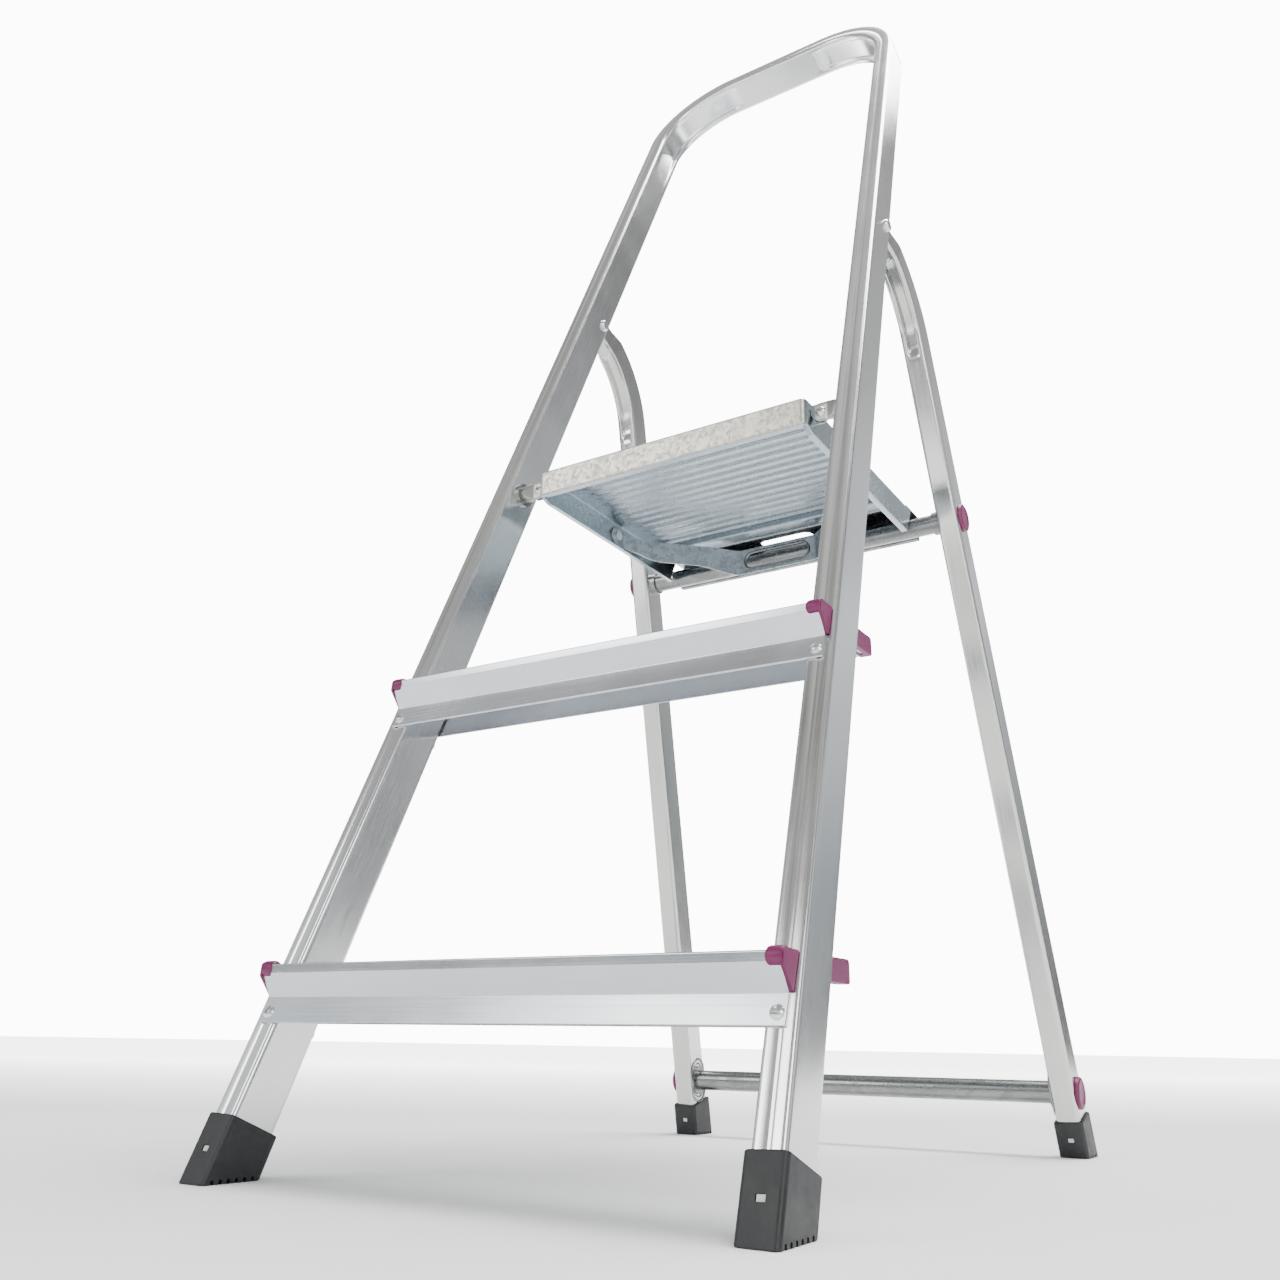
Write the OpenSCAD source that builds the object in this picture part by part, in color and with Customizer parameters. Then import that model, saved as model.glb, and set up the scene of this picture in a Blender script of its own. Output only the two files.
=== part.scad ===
// Folding step ladder with two treads, a platform and a bent-tube handrail.
// X runs across the ladder, Y from the user towards the rear legs, Z up.
// The part stands on Z = 0 with the middle of its footprint at the origin.

/* [Overall] */
// Height of the platform's top above the floor
platform_h = 620; // [560:5:700]
// Height from one tread to the next
rise = 239; // [215:1:255]
// Height of the top of the handrail
overall_h = 1320; // [1240:5:1500]
// Width over the front feet
foot_w = 440; // [410:2:560]
// Distance on the floor from the front stiles to the rear legs
foot_spread = 650; // [580:2:720]
// Backward lean of the front stiles, in degrees
front_lean = 21; // [18:0.5:22]
// Forward lean of the rear legs, in degrees
rear_lean = 15; // [14:0.5:18]
// Inward lean of every stile and leg, in degrees
splay = 2.15; // [1.5:0.05:2.6]

/* [Front tube] */
// Width of the front tube, across the ladder
stile_w = 21; // [19:0.5:26]
// Depth of the front tube, front to back
stile_d = 40; // [34:1:48]
// Wall of the front tube
stile_wall = 1.4; // [1.2:0.1:2]
// Outside radius of the handrail's two bends
hoop_r = 105; // [85:5:120]

/* [Rear legs] */
// Width of a rear leg, across the ladder
leg_w = 22; // [20:0.5:26]
// Depth of a rear leg, front to back
leg_d = 31; // [26:1:36]
// Wall of a rear leg
leg_wall = 1.5; // [1.2:0.1:2]
// Bend radius of a rear leg, at the middle of the tube
leg_bend_r = 118; // [90:2:125]
// Depth of a leg's narrowed top end
leg_end_d = 25; // [20:1:26]
// Height of the top hinges above the floor
hinge_h = 875; // [850:5:920]
// Distance of a top hinge behind the middle of its stile
hinge_back = 11; // [8:0.5:12]
// Diameter of a top hinge rivet
hinge_pin_d = 8; // [6:0.5:9]

/* [Crossbars] */
// Diameter of both crossbars
bar_d = 20; // [16:1:22]
// Wall of both crossbars
bar_wall = 1.5; // [1:0.1:2]
// Height of the lower crossbar's middle
low_bar_h = 56; // [52:1:90]
// Distance of the upper crossbar's middle under the platform's top
high_bar_drop = 21; // [19:0.5:24]
// Diameter of the caps on the crossbars' ends
bar_cap_d = 29; // [24:1:30]
// Thickness of those caps
bar_cap_t = 4; // [3:0.5:8]

/* [Steps] */
// Depth of a tread that stands in front of the crease
nose_overhang = 11.5; // [9:0.5:14]
// Depth of a tread that stands behind its stiles
tail_overhang = 30; // [20:1:32]
// Height of the lip at the nose
lip_h = 6.5; // [6:0.5:10]
// Height of the nosing, from the tread's top to the crease
crease_drop = 22.5; // [18:0.5:26]
// Height of the front and rear webs' lower edges under the tread's top
web_drop = 40; // [35:0.5:46]
// Thickness of a tread
tread_t = 3.2; // [2.8:0.1:4]
// Thickness of the webs and the lip
web_t = 1.8; // [1.4:0.1:2.4]
// Height of the hollow box along the back of a tread
tail_h = 13.5; // [11:0.5:18]
// Distance of a step's ends inside the stiles' outer faces
step_inset = 6.5; // [4:0.5:8]
// Spacing of the grooves in a tread
groove_pitch = 6; // [5:0.5:9]
// Diameter of a step rivet's head
rivet_head_d = 9; // [7:0.5:11]
// Diameter of a step rivet's shank
rivet_d = 4.8; // [4:0.1:5]

/* [Platform] */
// Width of the platform
platform_w = 288; // [250:2:292]
// How far the deck reaches behind the middle of the upper crossbar
rail_behind = 19.45; // [16:0.05:32]
// Distance of the lip behind the stiles' front face
lip_back = 2; // [0:0.5:4]
// Thickness of the platform's sheet
sheet_t = 1.5; // [1.2:0.1:2]
// Height of the front lip
front_lip_h = 26; // [24:1:30]
// Height of the side flanges at the back
flange_h = 30; // [28:1:34]
// Height of the rear rail
rail_h = 28; // [26:1:32]
// Spacing of the deck's ribs
rib_pitch = 13; // [11:0.5:18]
// Height of the deck's ribs
rib_h = 2; // [1:0.5:2.5]
// Length of the grip slot in the deck
slot_l = 64; // [50:2:90]
// Width of the grip slot in the deck
slot_w = 21; // [18:1:24]
// Distance of the fold axis under the platform's top
pivot_drop = 12; // [11:0.5:14]
// Diameter of the pivot tubes
pivot_d = 16; // [14:0.5:17]

/* [Catch lever] */
// Distance of the lever's rivets behind the lip
lever_back = 137; // [125:1:150]
// Distance of the lever's rivets under the platform's top
lever_drop = 16; // [15:0.5:18]
// Width of the lever's strip
lever_h = 29; // [24:1:29]
// Thickness of the lever's strip
lever_t = 1.6; // [1.4:0.1:2.5]
// Length of the lever's straight grip
grip_l = 92; // [80:2:120]
// Length of the finger slot in the grip
finger_l = 76; // [60:2:90]
// Width of the finger slot in the grip
finger_w = 18; // [14:1:19]
// Gap between the grip and the upper crossbar
grip_gap = 16.5; // [16:0.5:22]

/* [Boots] */
// Wall of the boots
boot_wall = 2.5; // [2:0.1:3.5]
// Thickness of the boots' soles
sole_t = 6; // [4:0.5:8]
// Height of a front boot along its stile
front_boot_h = 46; // [40:1:60]
// Height of a rear boot along its leg
rear_boot_h = 31; // [26:1:40]

/* [Fits] */
// Running clearance, on the radius, of the turning joints
run_gap = 0.08; // [0.03:0.01:0.1]
// Clearance, on the radius, of rivets and bars in their own holes
hole_gap = 0.1; // [0.05:0.01:0.2]
// Clearance between pieces that slip together
slip_gap = 0.15; // [0.1:0.05:0.3]

/* [Hidden] */

$fn = 48;
aluminium = "#c9ccce";
zinc = "#b3b9bb";
magenta = "#a5326f";
charcoal = "#303436";

// Heights of the two treads
lower_h = platform_h - 2 * rise;
upper_h = platform_h - rise;

// Front stiles: their outer faces close in by splay along their length
foot_half = foot_w / 2;
hoop_top = overall_h / cos(front_lean);
function stile_y(z) = z * tan(front_lean);
function half_at(y, z) = foot_half - (y * sin(front_lean) + z * cos(front_lean)) * tan(splay);

// Top hinges
hinge_t = stile_d / 2 + hinge_back;
hinge_y = stile_y(hinge_h) + hinge_t / cos(front_lean);
hinge_x = half_at(hinge_y, hinge_h) - stile_w / 2 / cos(splay);
hinge_s = hinge_y * sin(front_lean) + hinge_h * cos(front_lean);

// Rear legs, in their own plane: t runs back from the hinge and s up along the leg
leg_bend = 90 - front_lean - rear_lean;
leg_front_t = (foot_spread - hinge_h * tan(rear_lean) - hinge_y) * cos(rear_lean);
leg_mid_t = leg_front_t + leg_d / 2;
bend_start_s = -leg_mid_t / tan(leg_bend) - leg_bend_r * tan(leg_bend / 2);
bend_t = leg_mid_t - leg_bend_r;
narrow_l = 24.5;
leg_end_w = stile_w - 2 * stile_wall - 1.4;
leg_reach = hinge_h / cos(rear_lean) + 60;
fold_angle = front_lean + rear_lean;

// Crossbars
function leg_y(z) = foot_spread - z * tan(rear_lean) + leg_d / 2 / cos(rear_lean);
high_bar_h = platform_h - high_bar_drop;
function leg_s(z) = -((hinge_h - z) * cos(rear_lean) + (leg_y(z) - hinge_y) * sin(rear_lean));
function leg_half(z) = hinge_x - leg_s(z) * tan(splay) + leg_w / 2 / cos(splay);

// Platform
lip_y = stile_y(platform_h) + lip_back;
pivot_z = platform_h - pivot_drop;
pivot_y = stile_y(pivot_z) + stile_d / 2 / cos(front_lean);
pivot_in_x = half_at(pivot_y, pivot_z) - stile_w / cos(splay);
lug_l = 20;
lug_t = 3;
high_bar_y = leg_y(high_bar_h);
platform_d = high_bar_y - lip_y + rail_behind;
// The flanges stop on a line that clears the crossbar as it drops away forwards
escape = 27;
escape_gap = bar_d / 2 + 1.2;
function escape_y(z) = high_bar_y - lip_y - escape_gap / cos(escape)
    + (z + high_bar_drop) * tan(escape);

// Catch lever, measured from the lip and the platform's top
lever_in = platform_w / 2 - sheet_t - 0.4;
grip_y = high_bar_y - lip_y - bar_d / 2 - grip_gap;
grip_z = -16 - lever_h / 2;
tab_l = 14;

// Footprint, which sets the origin
front_edge = -boot_wall / cos(front_lean);
rear_edge = foot_spread + (leg_d + boot_wall) / cos(rear_lean);
mid_y = (front_edge + rear_edge) / 2;
far = 2000;

module placed() { translate([0, -mid_y, 0]) children(); }
module side(s) { if (s < 0) mirror([1, 0, 0]) children(); else children(); }
module leaning() { rotate([-front_lean, 0, 0]) children(); }
// Stile frame: x outwards from the stile's outer face at the floor, t back, s up
module at_stile() { leaning() translate([foot_half, 0, 0]) rotate([0, -splay, 0]) children(); }
// Leg frame: origin on the hinge axis at the leg's middle
module at_leg() {
    translate([hinge_x, hinge_y, hinge_h]) rotate([rear_lean, 0, 0]) rotate([0, -splay, 0]) children();
}
// Extrudes an outline drawn as [y, z] along x, centred
module across(w) { translate([-w / 2, 0, 0]) rotate([90, 0, 90]) linear_extrude(w) children(); }
module rod(d, l) { rotate([0, 90, 0]) cylinder(d = d, h = l); }
module above(z) { translate([-far / 2, -far / 2, z]) cube(far); }
module below(z) { translate([-far / 2, -far / 2, z - far]) cube(far); }

// ---- front tube ----
module hoop_outline(inset) {
    c_s = hoop_top - hoop_r;
    c_x = foot_half - c_s * tan(splay) - hoop_r / cos(splay);
    r = hoop_r - inset;
    foot_s = -60;
    foot_x = foot_half - foot_s * tan(splay) - inset / cos(splay);
    side_x = c_x + r * cos(splay);
    side_s = c_s + r * sin(splay);
    polygon([[-foot_x, foot_s], [foot_x, foot_s], [side_x, side_s], [c_x, c_s + r],
        [-c_x, c_s + r], [-side_x, side_s]]);
    for (m = [-1, 1]) translate([m * c_x, c_s]) circle(r, $fn = 96);
}

module hoop_solid(outside, inside, front, back) {
    leaning() translate([0, back, 0]) rotate([90, 0, 0]) linear_extrude(back - front)
        difference() {
            hoop_outline(outside);
            hoop_outline(inside);
        }
}

// The space a straight stile fills, grown by gap
module stile_space(gap) {
    at_stile() translate([-stile_w - gap, -gap, -80])
        cube([stile_w + 2 * gap, stile_d + 2 * gap, hoop_top - hoop_r]);
}

// The groove pressed into the inner face of each bend, grown by gap
groove_reach = 107;
groove_end_x = 65;
groove_depth = 2.5;
module bend_groove(gap) {
    intersection() {
        hoop_solid(stile_w - groove_depth - gap, stile_w + 4, stile_d / 4 - gap, stile_d * 3 / 4 + gap);
        leaning() for (m = [-1, 1]) side(m)
            translate([groove_end_x - gap, -10, hoop_top - groove_reach - gap])
                cube([foot_half, stile_d + 20, groove_reach]);
    }
}

module front_frame_tube() {
    color(aluminium) placed() difference() {
        hoop_solid(0, stile_w, 0, stile_d);
        bend_groove(0);
        difference() {
            hoop_solid(stile_wall, stile_w - stile_wall, stile_wall, stile_d - stile_wall);
            bend_groove(stile_wall);
        }
        below(sole_t);
        for (m = [-1, 1]) side(m) {
            leg_slot();
            hinge_hole();
            translate([pivot_in_x - 10, pivot_y, pivot_z]) rod(collar_d() + 2 * hole_gap, 10 + stile_w / 2);
            for (h = [lower_h, upper_h]) rivet_holes(h);
        }
    }
}

// Opening in the stile's rear wall that the leg's end turns in
module leg_slot() {
    half = leg_end_d / 2;
    reach = stile_d - hinge_t;
    low = reach * tan(fold_angle) + half / cos(fold_angle) + 2;
    high = half + 2;
    at_stile() translate([-stile_w + stile_wall, stile_d - stile_wall - 1, hinge_s / cos(splay) - low])
        cube([stile_w - 2 * stile_wall, stile_wall + 2, low + high]);
}

module hinge_hole() {
    translate([hinge_x - stile_w, hinge_y, hinge_h]) rod(hinge_pin_d + 2 * hole_gap, 2 * stile_w);
}

// ---- steps ----
// Outlines are [y, z] from the stile's front face at the tread's top
function face_y(z) = z * tan(front_lean);
function back_y(z) = stile_d / cos(front_lean) + face_y(z);
nose_y = face_y(-crease_drop) - nose_overhang;
tail_y = back_y(0) + tail_overhang;
web_y = web_t / cos(front_lean);
slant_run = face_y(-crease_drop) - web_y - nose_y;
slant_k = slant_run / (crease_drop - lip_h);
slant_y = web_t * sqrt(1 + slant_k * slant_k);
knee_z = (nose_y - lip_h * slant_k + slant_y) / (tan(front_lean) + slant_k);
chin_z = -lip_h + (slant_y - web_t) / slant_k;
chamfer = [9, 4.5];
groove_w = 2;
groove_h = 1;
groove_n = floor((tail_y - chamfer[0] - nose_y - 8) / groove_pitch);
function groove_points(i) = let (y = tail_y - chamfer[0] - 4 - i * groove_pitch)
    [[y, 0], [y, -groove_h], [y - groove_w, -groove_h], [y - groove_w, 0]];
function step_half(h) = half_at(stile_y(h - crease_drop), h - crease_drop) - step_inset;

module at_tread(h) { translate([0, stile_y(h), h]) children(); }

module step_outline() {
    difference() {
        polygon(concat([
            [nose_y, 0], [nose_y, -lip_h],
            [face_y(-crease_drop) - web_y, -crease_drop],
            [face_y(-web_drop) - web_y, -web_drop], [face_y(-web_drop), -web_drop],
            [face_y(knee_z), knee_z], [nose_y + web_t, chin_z], [nose_y + web_t, -tread_t],
            [back_y(-tread_t), -tread_t], [back_y(-web_drop), -web_drop],
            [back_y(-web_drop) + web_y, -web_drop], [back_y(-tail_h) + web_y, -tail_h],
            [tail_y, -tail_h], [tail_y, -chamfer[1]], [tail_y - chamfer[0], 0]],
            [for (i = [0 : groove_n - 1]) each groove_points(i)]));
        polygon([
            [back_y(-tread_t) + web_y, -tread_t], [tail_y - chamfer[0], -tread_t],
            [tail_y - web_t, -chamfer[1] - 0.5], [tail_y - web_t, -tail_h + web_t],
            [back_y(web_t - tail_h) + web_y, -tail_h + web_t]]);
    }
}

module step(h) {
    color(aluminium) placed() difference() {
        at_tread(h) across(2 * step_half(h)) step_outline();
        for (m = [-1, 1]) side(m) {
            at_stile() translate([-stile_w - slip_gap, 0, -80]) cube([3 * stile_w, stile_d, hoop_top]);
            rivet_holes(h);
        }
    }
}
module lower_step() { step(lower_h); }
module upper_step() { step(upper_h); }

// Rivets sit on the webs, a little inside the middle of each stile
rivet_drop = (crease_drop + web_drop) / 2 + 1.5;
module at_rivet(h) {
    z = h - rivet_drop;
    s = z / cos(front_lean);
    at_stile() translate([-stile_w / 2 - 2, 0, s / cos(splay)]) children();
}
module rivet_holes(h) {
    at_rivet(h) translate([0, -10, 0]) rotate([-90, 0, 0])
        cylinder(d = rivet_d + 2 * hole_gap, h = stile_d + 20);
}
// A blind rivet: domed head with its mandrel hole, shank and swaged tail
module blind_rivet() {
    grip = web_t + stile_wall;
    difference() {
        union() {
            intersection() {
                translate([0, 0, -3.5]) sphere(d = 12);
                cylinder(d = rivet_head_d, h = 5);
            }
            translate([0, 0, -grip]) cylinder(d = rivet_d, h = grip + 0.5);
            translate([0, 0, -grip - 4]) cylinder(d = rivet_d + 1.6, h = 4);
        }
        translate([0, 0, -grip - 5]) cylinder(d = 2.4, h = grip + 12);
    }
}
module step_rivets(h) {
    color(zinc) placed() for (m = [-1, 1]) side(m) at_rivet(h) {
        translate([0, -web_t, 0]) rotate([90, 0, 0]) blind_rivet();
        translate([0, stile_d + web_t, 0]) rotate([-90, 0, 0]) blind_rivet();
    }
}
module lower_step_rivets() { step_rivets(lower_h); }
module upper_step_rivets() { step_rivets(upper_h); }

// Front cap: end plate over the nosing and a round nub that grips the lip's end
cap_t = 1.6;
nub_l = 10;
nub_d = 12;
plug_l = 7;
module front_cap(s, h) {
    color(magenta) placed() side(s) difference() {
        at_tread(h) translate([step_half(h), 0, 0]) {
            translate([cap_t / 2, 0, 0]) across(cap_t) polygon([
                [nose_y, 0.6], [-0.3, 0.6], [face_y(-crease_drop) - 0.3, -crease_drop],
                [nose_y - 0.4, -lip_h - 0.6]]);
            translate([-nub_l, nose_y + nub_d / 2 - 1.6, 2.6 - nub_d / 2]) rod(nub_d, nub_l + cap_t);
        }
        at_tread(h) across(2 * step_half(h)) step_outline();
        stile_space(0.1);
    }
}
// Rear cap: end plate over the box at the back, with a plug inside it
module rear_cap(s, h) {
    color(magenta) placed() side(s) difference() {
        at_tread(h) translate([step_half(h), 0, 0]) {
            translate([cap_t / 2, 0, 0]) across(cap_t) polygon([
                [back_y(0) + 0.3, 0.6], [tail_y - chamfer[0], 0.6], [tail_y + 0.6, -chamfer[1]],
                [tail_y + 0.6, -tail_h - 0.6], [back_y(-tail_h) + 0.3, -tail_h - 0.6]]);
            translate([-plug_l / 2, 0, 0]) across(plug_l) polygon([
                [back_y(-tread_t) + web_y + slip_gap, -tread_t - slip_gap],
                [tail_y - chamfer[0] - 1, -tread_t - slip_gap],
                [tail_y - web_t - slip_gap, -chamfer[1] - 1.5],
                [tail_y - web_t - slip_gap, -tail_h + web_t + slip_gap],
                [back_y(web_t - tail_h) + web_y + slip_gap, -tail_h + web_t + slip_gap]]);
        }
        stile_space(0);
    }
}
module lower_step_front_cap_left() { front_cap(-1, lower_h); }
module lower_step_front_cap_right() { front_cap(1, lower_h); }
module upper_step_front_cap_left() { front_cap(-1, upper_h); }
module upper_step_front_cap_right() { front_cap(1, upper_h); }
module lower_step_rear_cap_left() { rear_cap(-1, lower_h); }
module lower_step_rear_cap_right() { rear_cap(1, lower_h); }
module upper_step_rear_cap_left() { rear_cap(-1, upper_h); }
module upper_step_rear_cap_right() { rear_cap(1, upper_h); }

// ---- boots ----
clip_w = 5;
clip_h = 3.5;
notch_d = 2.6;
notch_pitch = 6.6;
module notches(y0, w, n) {
    for (i = [0 : n - 1]) translate([-w, y0 + i * notch_pitch, 0]) rod(notch_d, 2 * w);
}
module front_boot(s) {
    color(charcoal) placed() side(s) difference() {
        at_stile() translate([-stile_w - boot_wall, -boot_wall, -60])
            cube([stile_w + 2 * boot_wall, stile_d + 2 * boot_wall, 60 + front_boot_h]);
        below(0);
        difference() {
            stile_space(slip_gap);
            below(sole_t);
        }
        at_clip() cube([clip_w + 0.4, 3 * boot_wall, clip_h + 0.4], center = true);
        translate([foot_half - stile_w / 2, 0, 0]) notches(5, stile_w, 6);
    }
}
module at_clip() { at_stile() translate([-stile_w / 2, -boot_wall, front_boot_h / 2]) children(); }
module front_boot_left() { front_boot(-1); }
module front_boot_right() { front_boot(1); }
module front_boot_clips() {
    color(aluminium) placed() for (m = [-1, 1]) side(m) at_clip()
        translate([-clip_w / 2, 0.7, -clip_h / 2]) cube([clip_w, boot_wall - 0.7, clip_h]);
}

leg_foot_s = -hinge_h / cos(rear_lean) - (foot_spread - hinge_y - hinge_h * tan(rear_lean)) * sin(rear_lean);
module rear_boot(s) {
    color(charcoal) placed() side(s) difference() {
        at_leg() translate([-leg_w / 2 - boot_wall, leg_front_t - boot_wall, leg_foot_s - 60])
            cube([leg_w + 2 * boot_wall, leg_d + 2 * boot_wall, 60 + rear_boot_h]);
        below(0);
        difference() {
            at_leg() translate([-leg_w / 2 - slip_gap, leg_front_t - slip_gap, leg_foot_s - 60])
                cube([leg_w + 2 * slip_gap, leg_d + 2 * slip_gap, 200]);
            below(sole_t);
        }
        at_rear_clip() cube([clip_w + 0.4, 3 * boot_wall, clip_h + 0.4], center = true);
        translate([foot_half - leg_w / 2, foot_spread, 0]) notches(3, leg_w, 5);
    }
}
module at_rear_clip() {
    at_leg() translate([0, leg_front_t - boot_wall, leg_foot_s + rear_boot_h / 2]) children();
}
module rear_boot_left() { rear_boot(-1); }
module rear_boot_right() { rear_boot(1); }
module rear_boot_clips() {
    color(aluminium) placed() for (m = [-1, 1]) side(m) at_rear_clip()
        translate([-clip_w / 2, 0.7, -clip_h / 2]) cube([clip_w, boot_wall - 0.7, clip_h]);
}

function collar_d() = pivot_d + 2 * run_gap + 2.4;

// ---- top hinges ----
hinge_head_d = hinge_pin_d + 5;
module hinge_rivet(s) {
    over = 3;
    color(zinc) placed() side(s) difference() {
        translate([hinge_x - stile_w / 2 - over, hinge_y, hinge_h]) union() {
            rod(hinge_pin_d, stile_w + 2 * over);
            for (e = [0, 1]) translate([e * (stile_w + 2 * over), 0, 0]) intersection() {
                translate([e == 0 ? 5 : -5, 0, 0]) rotate([0, 90, 0]) sphere(d = hinge_head_d + 1.5);
                translate([e == 0 ? 0 : -over - 1, 0, 0]) rod(hinge_head_d, over + 1);
            }
        }
        difference() {
            stile_space(0);
            translate([hinge_x - stile_w, hinge_y, hinge_h]) rod(hinge_pin_d + 0.02, 2 * stile_w);
        }
    }
}
module hinge_rivet_left() { hinge_rivet(-1); }
module hinge_rivet_right() { hinge_rivet(1); }

sleeve_wall = 1.8;
function sleeve_d() = hinge_pin_d + 2 * run_gap + 2 * sleeve_wall;
module hinge_sleeve(s) {
    color(zinc) placed() side(s) translate([hinge_x - leg_end_w / 2 - 0.2, hinge_y, hinge_h]) difference() {
        rod(sleeve_d(), leg_end_w + 0.4);
        translate([-1, 0, 0]) rod(hinge_pin_d + 2 * run_gap, leg_end_w + 3);
    }
}
module hinge_sleeve_left() { hinge_sleeve(-1); }
module hinge_sleeve_right() { hinge_sleeve(1); }

// ---- rear legs ----
// Side outline of a leg, [t, s] from the hinge; trim thins it all round
module leg_outline(depth, trim) {
    half = depth / 2 - trim;
    translate([leg_mid_t - half, -leg_reach]) square([2 * half, leg_reach + bend_start_s]);
    translate([bend_t, bend_start_s]) intersection() {
        difference() {
            circle(leg_bend_r + half, $fn = 120);
            circle(leg_bend_r - half, $fn = 120);
        }
        polygon([[0, 0], [far, 0], [far, far], [far * cos(leg_bend), far * sin(leg_bend)]]);
    }
    stub = leg_bend_r - bend_t / cos(leg_bend);
    rotate(leg_bend - 90) translate([0, -half]) square([leg_stub + 0.01, 2 * half]);
    circle(half);
}
leg_stub = leg_mid_t / sin(leg_bend) - leg_bend_r * tan(leg_bend / 2);
module rear_leg(s) {
    color(aluminium) placed() side(s) difference() {
        at_leg() difference() {
            union() {
                wide_part(leg_d, 0, leg_w, narrow_l);
                narrow_part(leg_end_d, 0, leg_end_w, narrow_l + leg_wall);
            }
            wide_part(leg_d, leg_wall, leg_w - 2 * leg_wall, narrow_l + leg_wall);
            narrow_part(leg_end_d, leg_wall, leg_end_w - 2 * leg_wall, narrow_l + leg_wall + 0.5);
        }
        below(sole_t);
        for (z = [low_bar_h, high_bar_h])
            translate([0, leg_y(z), z]) rod(bar_d + 2 * hole_gap, foot_w);
        translate([hinge_x - leg_w, hinge_y, hinge_h]) rod(sleeve_d() + 2 * hole_gap, 2 * leg_w);
    }
}
// The full section, from a distance l off the hinge onwards
module wide_part(depth, trim, w, l) {
    translate([-w / 2, 0, 0]) rotate([90, 0, 90]) linear_extrude(w) intersection() {
        leg_outline(depth, trim);
        rotate(leg_bend - 90) translate([l, -far / 2]) square(far);
    }
}
// The squeezed end round the hinge, up to a distance l off it
module narrow_part(depth, trim, w, l) {
    translate([-w / 2, 0, 0]) rotate([90, 0, 90]) linear_extrude(w) intersection() {
        leg_outline(depth, trim);
        rotate(leg_bend - 90) translate([-depth, -depth]) square([depth + l, 2 * depth]);
    }
}
module rear_leg_left() { rear_leg(-1); }
module rear_leg_right() { rear_leg(1); }

// Space of the straight part of a leg
module leg_space() {
    at_leg() translate([-leg_w / 2, leg_front_t - 10, -leg_reach])
        cube([leg_w, leg_d + 20, leg_reach + bend_start_s]);
}

// ---- crossbars ----
module crossbar(z) {
    end = leg_half(z) - 0.8;
    color(zinc) placed() translate([-end, leg_y(z), z]) difference() {
        rod(bar_d, 2 * end);
        translate([-1, 0, 0]) rod(bar_d - 2 * bar_wall, 2 * end + 2);
    }
}
module lower_crossbar() { crossbar(low_bar_h); }
module upper_crossbar() { crossbar(high_bar_h); }

module bar_cap(s, z) {
    stem = 14;
    edge = 1.5;
    color(magenta) placed() side(s) {
        difference() {
            translate([leg_half(z) - 2, leg_y(z), z]) {
                rod(bar_cap_d, bar_cap_t + 2 - edge);
                translate([bar_cap_t + 2 - edge, 0, 0]) rotate([0, 90, 0])
                    cylinder(d1 = bar_cap_d, d2 = bar_cap_d - 2 * edge, h = edge);
            }
            leg_space();
        }
        translate([leg_half(z) - stem, leg_y(z), z])
            rod(bar_d - 2 * bar_wall - 2 * slip_gap, stem + bar_cap_t / 2);
    }
}
module lower_crossbar_cap_left() { bar_cap(-1, low_bar_h); }
module lower_crossbar_cap_right() { bar_cap(1, low_bar_h); }
module upper_crossbar_cap_left() { bar_cap(-1, high_bar_h); }
module upper_crossbar_cap_right() { bar_cap(1, high_bar_h); }

module washers(z, d, l) {
    color(zinc) placed() for (m = [-1, 1]) side(m) difference() {
        translate([leg_half(z) - leg_w - l - 1, leg_y(z), z]) rod(d, l + 3);
        translate([0, leg_y(z), z]) rod(bar_d + 2 * hole_gap, foot_w);
        leg_space();
    }
}
module lower_crossbar_washers() { washers(low_bar_h, bar_d + 9, 1); }
module upper_crossbar_washers() { washers(high_bar_h, bar_d + 4, 6); }

// ---- platform ----
ledge_y = 210;
ledge_w = 18;
ledge_drop = 10;
lip_return = 8;
rail_return = 8;
flange_return = 6;
rib_n = floor((platform_d - 26) / rib_pitch) + 1;
ear_w = 16;
module at_deck() { translate([0, lip_y, platform_h]) children(); }

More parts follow.
